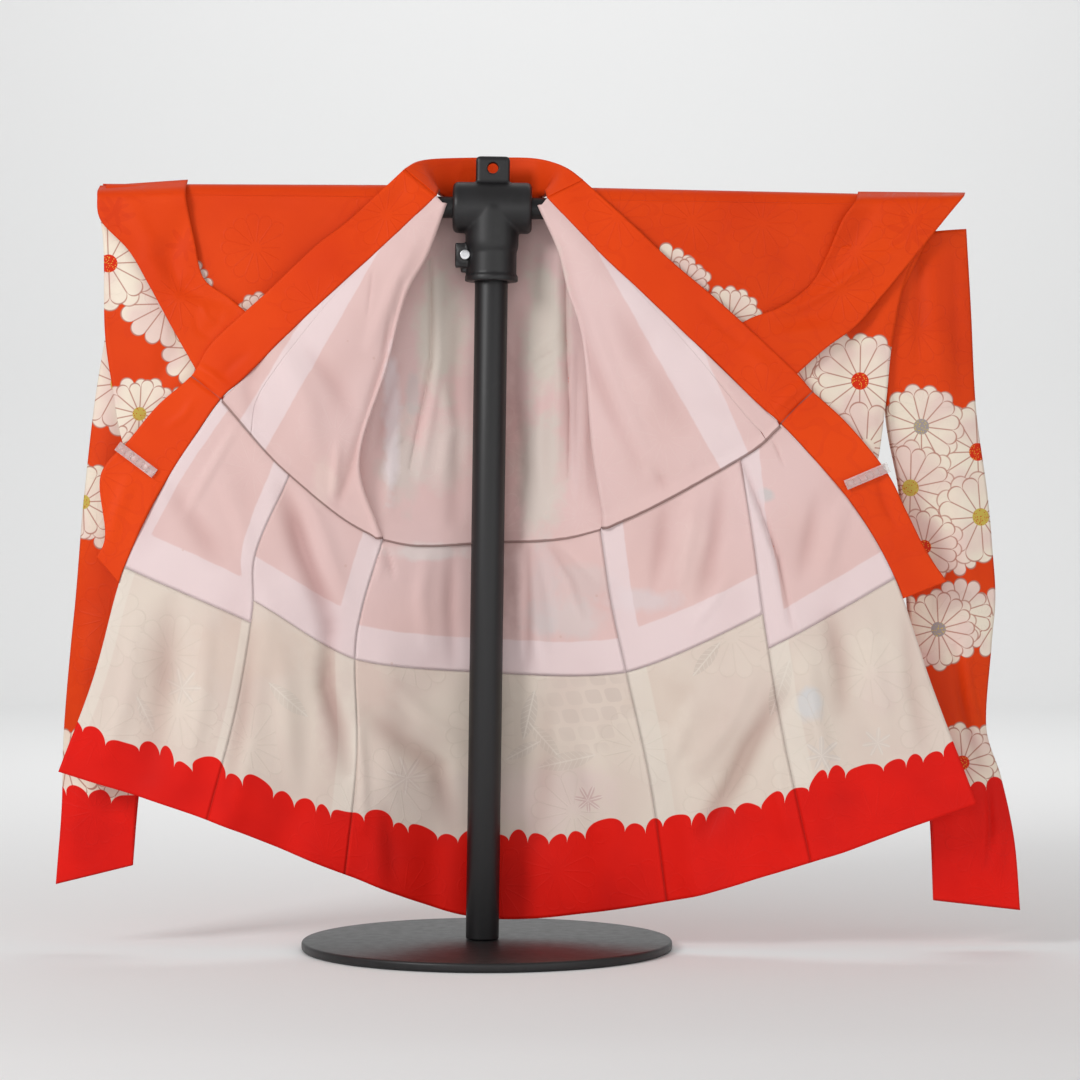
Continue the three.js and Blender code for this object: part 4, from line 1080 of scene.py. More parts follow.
# By panel: pale band's width at the left and the right edge, at the tuck and at the cream seam
PALE_EDGES = {"overlap_left": ((12, 12), (21, 10)), "front_left": ((0, 0), (22, 22)),
              "front_right": ((24, 22), (0, 0)), "overlap_right": ((22, 22), (0, 0))}
TUCK_FOOT = [1.4, 1.7, 2.0, 1.95, 2.0, 1.7, 1.4]
TUCK_TOP = 0.03
TUCKS = [("waist_tuck_left", 0.0, 1.84), ("waist_tuck_back", 2.0, 4.0), ("waist_tuck_right", 4.16, 6.0)]
SHOULDER_SEAMS = [[(-57, 690), (-57, 582), (-65, 546), (-78, 480)], [(79, 690), (80, 610), (83, 540), (82, 470)]]


def settings():
    return bpy.context.scene.kimono


def skirt_lift(points, level):
    """Creases and slow waves of the skirt, pinned by the sewn tuck line."""
    free = ramp(0, 0.16, level)
    deep = settings().crease_depth
    return free * (deep * crease_height(points, SKIRT_CREASES) + waves(points, 5, settings().wave_height))


def marks_of(u, seam=None, tuck=None, pale=None, red=None):
    """The attributes of one piece's points; what isn't given is far off."""
    far = np.full(len(u), FAR_OFF)
    return {"seam": far if seam is None else seam, "tuck": far if tuck is None else tuck,
            "pale": -far if pale is None else pale, "red": far if red is None else red}


def panel_level(part, cream, v):
    if part == "outer":
        return v * HEM
    return v * cream if part == "lining" else cream + v * (HEM - cream)


def skirt_piece(panel, part):
    name, first, cream_levels = panel
    number = PANELS.index(panel)

    def levels(u, v):
        return panel_level(part, cream_levels[0] + (cream_levels[1] - cream_levels[0]) * u, v)

    def surface(u, v):
        return skirt(first + u, levels(u, v))

    def lift(points, u, v):
        return skirt_lift(points, levels(u, v))

    def marks(at):
        seam = np.minimum(at.left if first > 0 else FAR_OFF, at.right if first < 5 else FAR_OFF)
        red = at.foot - np.interp(first + at.u, range(len(RED_TOP)), RED_TOP)
        if part == "outer":
            return marks_of(at.u, seam, red=red - OUTER_RED)
        (left_top, left_foot), (right_top, right_foot) = PALE_EDGES.get(name, ((0, 0), (0, 0)))
        down = at.v if part == "lining" else np.ones_like(at.v)
        wide_left = left_top + (left_foot - left_top) * down
        wide_right = right_top + (right_foot - right_top) * down
        pale = np.maximum(np.where(wide_left > 0, wide_left - at.left, -FAR_OFF),
                          np.where(wide_right > 0, wide_right - at.right, -FAR_OFF))
        if part == "lining":
            pale = np.maximum(pale, ABOVE_CREAM[number] - at.foot)
            return marks_of(at.u, np.minimum(seam, at.foot), at.top, pale)
        return marks_of(at.u, np.minimum(seam, at.top), pale=pale, red=red)

    width = {"outer": 160, "lining": 130, "hem": 160}[part]
    height = {"outer": 390, "lining": 140, "hem": 250}[part]
    near, far = SHELL if part == "outer" else (-SHELL[1], -SHELL[0])
    full = {"outer": f"{name}_lower", "lining": f"{name}_lining_lower", "hem": f"{name}_lining_hem"}[part]
    look = {"outer": ("outer_silk", "body"), "lining": ("lining_silk", "lining"), "hem": ("hem_lining_silk", "hem")}
    slot, finish = look[part]
    return cloth(full, surface, near, far, cells(width), cells(height), slot, finish_of(finish),
                 lift=lift, marks=marks)


def declare(points, across, down):
    """Works out the sheet's cut, measured along its own weave; nothing of it is kept."""
    grid = points.reshape(down + 1, across + 1, 3)
    width, length = lengths(grid, 1)[:, -1].max() * MM, lengths(grid, 0)[-1].max() * MM
    cell_u, cell_v = np.diff(grid, axis=1)[:-1], np.diff(grid, axis=0)[:, :-1]
    area = float(np.linalg.norm(np.cross(cell_u, cell_v), axis=-1).sum()) * MM * MM
    share = min(max(area / (width * length), SHARE_LEAST), 1.0)
    width, length = round(float(width), 3), round(float(length), 3)
    share * width * length


TUCK_FACES = (0.35, 1.05)  # how far the fold's inner and outer face lie from its middle


def waist_tuck(name, start, end):
    """The fold of outer cloth that hangs below the waist, open at its top."""
    across, down = cells(155 * (end - start), 1.3), 76
    v, u = (a.ravel() for a in np.meshgrid(
        np.linspace(0, 1, down + 1), np.linspace(0, 1, across + 1), indexing="ij"))
    row = np.interp(v, [0, 0.45, 0.55, 1], [0, 3, 7, 10])
    turn = np.clip((row - 3) / 4, 0, 1) * math.pi
    run = np.where(row <= 3, row / 3, np.minimum((10 - row) / 3, 1))
    seam = start + (end - start) * u
    foot = along(TUCK_FOOT, seam)
    level_mm = np.linalg.norm(skirt(seam, foot) - skirt(seam, foot - 1), axis=1)

    def hung(seam, level):
        point = skirt(seam, level)
        point[:, 1] -= skirt_lift(point, level)
        return point

    def side(radius):
        level = TUCK_TOP + (foot - TUCK_TOP) * run + radius * np.sin(turn) / level_mm
        normal = np.cross(hung(seam + STEP, level) - hung(seam - STEP, level),
                          hung(seam, level + STEP) - hung(seam, np.maximum(level - STEP, 0)))
        normal /= np.linalg.norm(normal, axis=1, keepdims=True)
        return hung(seam, level) + normal * (TUCK_CENTRE + radius * np.cos(turn))[:, None]

    near, far = (side(radius) for radius in TUCK_FACES)
    middle = (near + far).reshape(down + 1, across + 1, 3) / 2
    over, under = lengths(middle, 1).ravel(), lengths(middle, 0).ravel()
    attributes = {"along": over, "down": under, **marks_of(u)}
    obj = shell_mesh(f"{name}_cloth", near, far, across, down, attributes)
    dress(obj, [name], finish_of("body"))
    declare(middle, across, down)
    return obj


# Upper back: rows from the shoulders to the tuck, z from the bar's axis
BACK_X = [[-197, -125, -68, -36, 5, 46, 78, 135, 210], [-196, -128, -72, -36, 5, 44, 80, 138, 208],
          [-195, -132, -76, -36, 4, 42, 82, 140, 205], [-172, -124, -76, -36, 3, 40, 80, 132, 180],
          [-144, -112, -72, -34, 3, 38, 77, 116, 150]]
BACK_Z = [[0, 0, 0, 3, 6, 3, 0, 0, 0], [-55] * 9, [-102, -103, -104, -105, -106, -105, -104, -103, -102],
          [-165, -170, -175, -180, -182, -180, -175, -170, -165],
          [-253, -256, -260, -262, -264, -262, -258, -252, -248]]
BACK_Y = [[12.4, 12.4, 16, 30, 35, 30, 16, 12.4, 12.4], [10, 12, 18, 29, 33, 29, 18, 12, 10],
          [7, 11, 18, 26, 31, 26, 18, 11, 7], [3, 11, 19, 26, 29, 26, 19, 11, 3],
          [2, 10, 18, 25, 27, 25, 18, 10, 2]]
BACK_DROP = 0.4


def back_points():
    rows = [[(x, y, bar_height(x) - BACK_DROP + z) for x, y, z in zip(*row)] for row in zip(BACK_X, BACK_Y, BACK_Z)]
    return np.array(rows + [skirt(2 + 2 * np.arange(9) / 8, 0).tolist()])


def upper_back(half, side):
    """Half of the back above the waist: side is 'outer' or 'lining'."""
    rows = back_points()

    def surface(u, v):
        seam = (half + u) / 2 * 8
        points = along(np.stack([along(row, seam) for row in rows]), v * (len(rows) - 1))
        return points if side == "outer" else hung_over(points, v)

    def lift(points, u, v):
        pinned = 1 - ramp(0.93, 1, v)
        return pinned * (settings().crease_depth * crease_height(points, BACK_CREASES)
                         + waves(points, 11, settings().wave_height)) * ramp(0, 0.08, v)

    def marks(at):
        middle = at.right if half == 0 else at.left
        if side == "outer":
            return marks_of(at.u, middle)
        seam = np.minimum.reduce([middle] + [off_path(at.points[:, [0, 2]], path)[0] for path in SHOULDER_SEAMS])
        return marks_of(at.u, seam, at.foot - TUCK_INSET)

    name = ("back_left", "back_right")[half]
    if side == "outer":
        near, far = (lambda u, v, off=off: off + TUCK_CENTRE * ramp(0.84, 1, v) for off in SHELL)
        return cloth(f"{name}_upper", surface, near, far, cells(205), cells(335), "outer_silk",
                     finish_of("body"), lift=lift, marks=marks)
    return cloth(f"{name}_lining_upper", surface, -SHELL[1], -SHELL[0], cells(205, 0.85), cells(335, 0.85),
                 "lining_silk", finish_of("lining"), lift=lift, marks=marks, lining_lip=tuck_lip)


TUCK_INSET = 1.5  # how far above an upper lining's edge the tuck line shows
TUCK_OVERHANG = 3.6  # how far an upper lining reaches below the waist
TUCK_LIP = 1.6


def hung_over(points, v):
    """Lets an upper lining end a little below the tuck line, so that no light comes through."""
    points[:, 2] -= TUCK_OVERHANG * ramp(0.95, 1, v)
    return points


def tuck_lip(v):
    """The upper lining rolls towards the viewer where it meets the tuck line."""
    return -TUCK_LIP * ramp(0.965, 0.995, v)


# Each front hangs from the shoulder, turns back along a fold and lies open to the collar
FRONTS = {
    "left": {
        "turn": 1, "waist": 1.94, "neck": 0, "start": 0.3, "share": 0.23,
        "collar": [(-50, 750, -17), (-103, 699, -24), (-137, 668, -27), (-184, 624, -30), (-239, 569, -33)],
        "fold": [(-39, 743, -17), (-58, 692, -20), (-80, 650, -20), (-99, 579, -18), (-126, 487, -15)],
        "side": [(-197, 745.5, -12.3), (-196, 690, -12.6), (-195, 640, -12), (-172, 575, -6), (-134, 487, -8)],
    },
    "right": {
        "turn": -1, "waist": 4.06, "neck": 6, "start": 0.28, "share": 0.25,
        "collar": [(60, 748, -17), (111, 694, -24), (150, 657, -27), (200, 609, -30), (266, 545, -33)],
        "fold": [(50, 741, -17), (70, 696, -20), (80, 656, -20), (95, 605, -18), (104, 500, -15)],
        "side": [(210, 739.8, -12.3), (209, 690, -12.6), (206, 640, -12), (180, 575, -6), (138, 492, -8)],
    },
}
COLLARS = {
    "left": ([(-82, 777, -15), (-136, 726, -22), (-170, 699, -25), (-216, 655, -28), (-271, 604, -30),
              (-291, 572, -31), (-325, 541, -34), (-352, 508, -36), (-381, 472, -38), (-376, 414, -40),
              (-384, 391, -42)], [0.5, 1, 1.5, 2, 2.15]),
    "right": ([(96, 766, -15), (146, 720, -22), (184, 684, -25), (233, 642, -28), (300, 580, -30),
               (323, 555, -31), (357, 523, -34.5), (395, 476, -37), (414, 437, -39), (434, 397, -42),
               (454, 367, -44)], [0.5, 1, 1.5, 2, 2.2]),
}


COLLAR_SEAMS = {"left": [(-297, 574), (-281, 562), (-261, 546)], "right": [(327, 558), (306, 539), (288, 520)]}


# Straight edges of the pale band on each front, as x, z: first the edge towards the fold
PALE_BANDS = {"left": [[(-105, 697), (-215, 504)], [(-163, 658), (-244, 526)]],
              "right": [[(110, 693), (228, 486)], [(212, 601), (257, 500)]]}


BAND_FROM = 0.2  # how far down a front its pale band starts


def band_depth(points, side):
    """How far inside the pale band each point lies, in mm."""
    turn = FRONTS[side]["turn"]

    def beside(edge):
        start, end = np.array(edge, float)
        way = (end - start) / np.linalg.norm(end - start)
        off = points[:, [0, 2]] - start
        return way[0] * off[:, 1] - way[1] * off[:, 0]

    inner, outer = PALE_BANDS[side]
    return np.minimum(-turn * beside(inner), turn * beside(outer))


class Front:
    """The curves of one turned-back front. q is 0 on the collar seam and 1 on the fold."""

    def __init__(self, side):
        shape = FRONTS[side]
        self.turn, self.waist, self.neck = shape["turn"], shape["waist"], shape["neck"]
        self.start, self.share = shape["start"], shape["share"]
        waist = skirt(self.waist, 0)[0]
        self.collar = np.vstack([place(shape["collar"]), skirt(self.neck, 0)])
        axis = place(shape["fold"]) - (self.turn * (FOLD_RADIUS + SEAM / 2 + CLOTH), 0, 0)
        self.axis = np.vstack([axis, waist + (0, FOLD_RADIUS - WAIST_LIFT, 0)])
        self.side = np.vstack([place(shape["side"]), self.axis[-1] + (-self.turn * 9, FOLD_RADIUS - 1, 3)])
        self.rows = len(self.collar) - 1

    def fold_at(self, v, angle):
        point = along(self.axis, v * self.rows)
        point[:, 0] += self.turn * FOLD_RADIUS * np.sin(angle)
        point[:, 1] -= FOLD_RADIUS * np.cos(angle)
        return point

    def open(self, q, v):
        straight = mix(along(self.collar, v * self.rows), self.fold_at(v, 0.0), q)
        bottom = mix(self.collar[-1], self.fold_at(np.ones(1), 0.0)[0], q)
        line = skirt(self.neck + (self.waist - self.neck) * q, 0)
        straight += (line - bottom) * (v**3 * (1 - q**20))[:, None]
        straight[:, 1] -= 4 * np.sin(math.pi * q) * np.sin(math.pi * v)
        return straight

    def under(self, q, v):
        return mix(self.fold_at(v, math.pi), along(self.side, v * self.rows), q)

    def strip_edge(self, v):
        return self.share * np.maximum(0, (v - self.start) / (1 - self.start))

    def sheet(self, s, v):
        """s is 0 at the overlap seam, 1 at the fold, 2 past the turn and 3 at the side seam."""
        strip = self.strip_edge(v)
        front = self.open(strip + (1 - strip) * np.clip(s, 0, 1), v)
        turned = self.fold_at(v, (np.clip(s, 1, 2) - 1) * math.pi)
        behind = self.under(np.clip(s - 2, 0, 1), v)
        return np.where((s <= 1)[:, None], front, np.where((s <= 2)[:, None], turned, behind))

    def lift(self, points, s, v):
        pinned = (1 - ramp(0.93, 1, v)) * ramp(0, 0.1, v) * (1 - ramp(0.85, 1.4, s))
        deep = settings().crease_depth
        return pinned * (deep * crease_height(points, FRONT_CREASES) + waves(points, 23, settings().wave_height))


# Where along a row of cells the sheet reaches each s
OUTER_STOPS = ([0, 0.52, 0.62, 1], [0, 1, 2, 3])
LINED_STOPS = ([0, 0.72, 0.86, 1], [0, 1, 2, 2.33])


def upper_cloth(part, side, layer, surface, across, down, lift, marks, held):
    """A piece of one front above the waist: its outer silk, or its lining with the tuck's lip."""
    if layer == "outer":
        return cloth(f"{part}_{side}_upper", surface, *SHELL, across, down, "outer_silk", finish_of("body"), lift=lift,
                     marks=marks, held=held)
    return cloth(f"{part}_{side}_lining_upper", surface, -SHELL[1], -SHELL[0], across, down, "lining_silk",
                 finish_of("lining"), lift=lift, marks=marks, held=held, lining_lip=tuck_lip)


def front_piece(side, layer):
    front = Front(side)
    stops = OUTER_STOPS if layer == "outer" else LINED_STOPS
    across = 104 if layer == "outer" else 84

    def reach(u):
        return np.interp(u if front.turn > 0 else 1 - u, *stops)

    def surface(u, v):
        points = front.sheet(reach(u), v)
        return points if layer == "outer" else hung_over(points, v)

    def lift(points, u, v):
        return front.lift(points, reach(u), v)

    def marks(at):
        if layer == "outer":
            return marks_of(at.u, at.left if front.turn > 0 else at.right)
        pale = np.where(at.v > BAND_FROM, band_depth(at.points, side), -FAR_OFF)
        return marks_of(at.u, None, at.foot - TUCK_INSET, pale)

    return upper_cloth("front", side, layer, surface, across, 112, lift, marks, "folded")


def strip_piece(side, layer):
    """The overlap panel's part above the waist: a long wedge along the collar."""
    front = Front(side)
    first = front.start + 0.02

    def surface(u, v):
        row = first + (1 - first) * v
        points = front.open(front.strip_edge(row) * (u if front.turn > 0 else 1 - u), row)
        return points if layer == "outer" else hung_over(points, v)

    def lift(points, u, v):
        return front.lift(points, np.zeros_like(v), first + (1 - first) * v)

    def marks(at):
        if layer == "outer":
            return marks_of(at.u, np.minimum(at.left, at.right))
        seam = at.left if front.turn > 0 else at.right
        return marks_of(at.u, seam, at.foot - TUCK_INSET, band_depth(at.points, side))

    return upper_cloth("overlap", side, layer, surface, 18, 84, lift, marks, "hung")


def collar_lift(points, u, v):
    deep = settings().crease_depth
    return deep * crease_height(points, COLLAR_CREASES) + waves(points, 31, 0.6 * settings().wave_height)


def collar_band(side):
    """The band, folded double, from the neck down one front."""
    front = Front(side)
    rows, levels = COLLARS[side]
    inner = np.vstack([front.collar, skirt(front.neck, np.array(levels))])
    outer = place(rows)

    def surface(u, v):
        row = v * (len(outer) - 1)
        return mix(along(outer, row), along(inner, row), u if front.turn > 0 else 1 - u)

    def marks(at):
        tuck = off_path(at.points[:, [0, 2]], COLLAR_SEAMS[side])[0]
        return marks_of(at.u, at.right if front.turn > 0 else at.left, tuck)

    return cloth(f"collar_{side}", surface, -COLLAR_HALF, COLLAR_HALF, 22, 190, "collar_silk",
                 finish_of("collar"), lift=collar_lift, marks=marks, held="folded")


NECK_INNER = [(-50, 750, -17), (-48, 757, -4), (-47, 754, 13), (-31, 750, 29), (5, 748, 36), (42, 749, 29),
              (58, 753, 13), (58, 756, -4), (60, 748, -17)]
NECK_OUTER = [(-82, 777, -15), (-71, 785, -4), (-56, 790, 11), (-32, 793, 26), (6, 794.5, 35), (44, 793, 26),
              (66, 787, 11), (82, 778, -4), (96, 766, -15)]


def neck_band():
    inner, outer = place(NECK_INNER), place(NECK_OUTER)

    def surface(u, v):
        return mix(along(outer, u * 8), along(inner, u * 8), v)

    def marks(at):
        return marks_of(at.u, at.foot)

    return cloth("collar_neck", surface, -COLLAR_HALF, COLLAR_HALF, 96, 16, "collar_silk", finish_of("collar"),
                 marks=marks, held="folded")


SHOULDER_RADIUS = BAR_RADIUS + 1.55
SHOULDERS = [("shoulder_left", -196.9, -60.0), ("shoulder_right", 74.0, 209.9)]
SHOULDER_ARC = (math.radians(-74), math.radians(84))


RIDGE_RISE = 6.5  # how loosely the cloth stands over the bar


def around_bar(x, angle, radius):
    rise = radius * np.cos(angle) + RIDGE_RISE * np.maximum(np.cos(angle), 0)
    return np.stack([x, radius * np.sin(angle), bar_height(x) + rise], 1)


def shoulder(name, start, end):
    def surface(u, v):
        low, high = SHOULDER_ARC
        return around_bar(start + (end - start) * u, low + (high - low) * v, SHOULDER_RADIUS)

    return cloth(name, surface, -1.0, 1.0, cells(end - start), 16, "outer_silk", finish_of("plain"),
                 held="draped", rests_on=("stand_crossbar",))


# Sleeves: each sheet has rows of its cuff edge and of its inner edge. In yoke and back, z is from the bar.
SLEEVES = {
    "left": {
        "turn": 1,
        "yoke": ([(-380, 0, 0), (-378, -50, -13), (-374, -110, -13.5)],
                 [(-84, 0, 2.9), (-132, -50, -15.8), (-200, -118, -16.4)]),
        "flap": ([(-387, 762, 0), (-387, 750, -16.5), (-383, 725, -18.5), (-355, 695, -20), (-335, 661, -21),
                  (-311, 617, -23), (-280, 563, -25.5)],
                 [(-299, 768, 0), (-299, 752, -17), (-296, 732, -17.5), (-290, 704, -17.5), (-281, 668, -18),
                  (-255, 648, -20), (-228, 625, -24)]),
        "cuff": ([(-386, 736, -16), (-381, 700, -16), (-380, 617, -16.5), (-372, 560, -20), (-363, 516, -32.4),
                  (-352, 480, -34)],
                 [(-330, 736, -16), (-300, 690, -16), (-275, 610, -17.5), (-275, 570, -21), (-318, 522, -31),
                  (-336, 496, -33.4)]),
        "bag": ([(-380, 620, 0), (-392, 545, 0), (-402, 455, 0), (-410, 361, 0), (-416, 300, 0),
                 (-423, 216, 0), (-425, 141, 0), (-431, 64, 0)],
                [(-330, 632, 0), (-326, 555, 0), (-325, 460, 0), (-328, 360, 0), (-334, 300, 0),
                 (-342, 216, 0), (-350, 141, 0), (-354, 83, 0)]),
        "depth": [5, 9, 10, 10, 10, 9, 7, 1.2],
        "back": ([(-384, 0, 0), (-384, -60, 11), (-382, -112, 6)],
                 [(-198, 0, 0), (-198, -60, 12), (-222, -122, 11)]),
    },
    "right": {
        "turn": -1,
        "yoke": ([(452, 0, 0), (425, -55, -13), (385, -135, -13.5)],
                 [(96, 0, 2.9), (142, -55, -15.8), (214, -128, -16.4)]),
        "flap": ([(478, 755, 0), (473, 748, -15.5), (458, 730, -18), (427, 692, -20), (392, 650, -21.5),
                  (366, 620, -22.5), (335, 597, -24), (294, 560, -26)],
                 [(371, 756, 0), (366, 744, -16.5), (353, 725, -17), (338, 690, -17), (322, 662, -18),
                  (293, 640, -19), (262, 628, -21), (236, 613, -24.5)]),
        "cuff": ([(440, 712, -15.8), (417, 670, -16), (403, 602, -16.5), (397, 546, -19), (388, 490, -33.3),
                  (380, 470, -34.6)],
                 [(350, 700, -15.8), (330, 655, -16), (305, 600, -17.5), (312, 560, -21), (350, 508, -31.6),
                  (364, 490, -33.4)]),
        "bag": ([(479, 719, 0), (484, 630, 0), (489, 536, 0), (500, 455, 0), (505, 400, 0), (508, 350, 0),
                 (504, 300, 0), (499, 222, 0), (514, 170, 0), (527, 108, 0), (533, 38, 0)],
                [(405, 712, 0), (400, 640, 0), (399, 536, 0), (412, 460, 0), (416, 400, 0), (420, 350, 0),
                 (424, 300, 0), (432, 225, 0), (440, 170, 0), (444, 120, 0), (446, 48, 0)]),
        "depth": [8, 9, 10, 10, 10, 10, 10, 9, 9, 7, 1.2],
        "back": ([(446, 0, 0), (440, -20, 11.8), (414, -60, 11)],
                 [(211, 0, 0), (211, -45, 12.2), (215, -110, 11)]),
    },
}
FLAP_CLEAR = 3.4  # keeps the flap's hollows in front of the sheet behind it
RIDGE_ANGLES = [math.radians(a) for a in (0.5, 24, 45, 66, 87)]
SLEEVE_RADIUS = BAR_RADIUS + 0.4 + 0.6 + 0.1


def hung_rows(rows, way):
    """From the top of the bar round its front (way -1) or back, then hanging from its axis.

    The first row's third number is how far off the bar the cloth lies there.
    """
    first, rest = rows[0], rows[1:]
    x = np.full(len(RIDGE_ANGLES), float(first[0]))
    ridge = around_bar(x, way * np.array(RIDGE_ANGLES), SLEEVE_RADIUS + first[2])
    return np.vstack([ridge] + [[(x, y, bar_height(x) + drop)] for x, drop, y in rest])


def sleeve_sheet(side, part):
    shape = SLEEVES[side]
    turn = shape["turn"]
    way = {"yoke": -1, "back": 1}.get(part)
    outer, inner = (hung_rows(rows, way) if way else place(rows) for rows in shape[part])

    def surface(u, v):
        row = v * (len(outer) - 1)
        return mix(along(outer, row), along(inner, row), u if turn > 0 else 1 - u)

    def lift(points, u, v):
        free = ramp(0.25, 0.5, v) if way else ramp(0, 0.12, v)
        height = crease_height(points, SLEEVE_CREASES.get(part, []))
        clear = FLAP_CLEAR if part == "flap" else 0.0
        return free * (height + clear + waves(points, 41, 0.7 * settings().wave_height))

    def marks(at):
        return marks_of(at.u, (at.right if turn > 0 else at.left) if way else None)

    finish = {"yoke": "yoke", "flap": "plain", "cuff": f"cuff_{side}", "back": "body"}[part]
    wide, high = (230, 130) if way else (90, 250)
    return cloth(f"sleeve_{side}_{part}", surface, -SLEEVE_HALF, SLEEVE_HALF, cells(wide, 0.9), cells(high, 0.9),
                 "outer_silk", finish_of(finish), lift=lift, marks=marks, held="folded" if part == "flap" else "hung",
                 rests_on=("stand_crossbar",))


def sleeve_bag(side, wall):
    """One wall of the sleeve's hanging bag: way -1 is the front wall."""
    shape = SLEEVES[side]
    turn, way = shape["turn"], -1 if wall == "front" else 1
    outer, inner = (place(rows) for rows in shape["bag"])

    def surface(u, v):
        row = v * (len(outer) - 1)
        from_outer = u if turn > 0 else 1 - u
        point = mix(along(outer, row), along(inner, row), from_outer)
        swelled = np.sin(math.pi / 2 * np.minimum(1, from_outer * 2.2))
        point[:, 1] += way * (SLEEVE_HALF + 0.05 + along(shape["depth"], row) * swelled)
        return point

    def lift(points, u, v):
        height = crease_height(points, SLEEVE_CREASES["bag"])
        return ramp(0, 0.05, v) * (height + waves(points, 47, 0.8 * settings().wave_height))

    def marks(at):
        return marks_of(at.u, at.foot)

    return cloth(f"sleeve_{side}_bag_{wall}", surface, -SLEEVE_HALF, SLEEVE_HALF, 32, 210, "outer_silk",
                 finish_of(f"bag_{side}"), lift=lift, marks=marks, rests_on=("stand_crossbar",))


# Rigid pieces


def pick(obj):
    bpy.ops.object.select_all(action="DESELECT")
    obj.select_set(True)
    bpy.context.view_layer.objects.active = obj


def apply_modifier(obj, kind, **settings_of):
    pick(obj)
    bpy.ops.object.modifier_add(type=kind)
    modifier = obj.modifiers[-1]
    for key, value in settings_of.items():
        setattr(modifier, key, value)
    bpy.ops.object.modifier_apply(modifier=modifier.name)


def cut(obj, *tools, operation="DIFFERENCE"):
    """Takes the tools' forms away from obj, or adds them to it, and removes the tools."""
    for tool in tools:
        apply_modifier(obj, "BOOLEAN", operation=operation, solver="MANIFOLD", object=tool)
        bpy.data.objects.remove(tool)


def cylinder(name, radius, start, end, sides=96):
    """A closed cylinder between two points in mm."""
    start, end = Vector(start) * MM, Vector(end) * MM
    turn = (end - start).to_track_quat("Z", "Y").to_euler()
    bpy.ops.mesh.primitive_cylinder_add(vertices=sides, radius=radius * MM, depth=(end - start).length,
                                        location=(start + end) / 2, rotation=turn)
    obj = bpy.context.object
    obj.name = obj.data.name = name
    return obj


def block(name, low, high):
    low, high = Vector(low) * MM, Vector(high) * MM
    bpy.ops.mesh.primitive_cube_add(size=1, location=(low + high) / 2)
    obj = bpy.context.object
    obj.name = obj.data.name = name
    obj.scale = high - low
    bpy.ops.object.transform_apply(location=False, rotation=False, scale=True)
    return obj


def settle(obj, matrix=None):
    """Applies the piece's place and turn, so that it stands at the origin."""
    pick(obj)
    if matrix is not None:
        obj.matrix_world = matrix @ obj.matrix_world
    bpy.ops.object.transform_apply(location=True, rotation=True, scale=True)


def smooth_by_angle(obj, degrees=32):
    pick(obj)
    bpy.ops.object.shade_smooth_by_angle(angle=math.radians(degrees))


def upright():
    """Where the stand's leaning parts are: turned about the foot of the pole."""
    return Matrix.Translation((POLE_FOOT_X * MM, 0, 0)) @ Matrix.Rotation(LEAN, 4, "Y")


def finish_rigid(obj, node, finish, degrees=32):
    smooth_by_angle(obj, degrees)
    dress(obj, [node], finish_of(finish))


POLE_TOP = BAR_HEIGHT - SOCKET_RADIUS - 4
CLAMP_X, CLAMP_Z = -SOCKET_RADIUS - 3, SOCKET_BOTTOM + 26


def build_pole():
    obj = cylinder("stand_pole_shape", POLE_RADIUS, (0, 0, BASE_THICK + 2 * SEAM), (0, 0, POLE_TOP))
    apply_modifier(obj, "BEVEL", width=settings().edge_round, segments=3, limit_method="ANGLE")
    settle(obj, upright())
    finish_rigid(obj, "stand_pole", "black")


def build_crossbar():
    obj = cylinder("stand_crossbar_shape", BAR_RADIUS, (BAR_LEFT, 0, BAR_HEIGHT), (BAR_RIGHT, 0, BAR_HEIGHT))
    apply_modifier(obj, "BEVEL", width=settings().edge_round, segments=3, limit_method="ANGLE")
    settle(obj, upright())
    finish_rigid(obj, "stand_crossbar", "black")


def build_base():
    obj = cylinder("stand_base_shape", BASE_RADIUS, (0, 0, 0), (0, 0, BASE_THICK), sides=160)
    apply_modifier(obj, "BEVEL", width=2.6 * MM, segments=4, limit_method="ANGLE")
    settle(obj)
    finish_rigid(obj, "stand_base", "black")


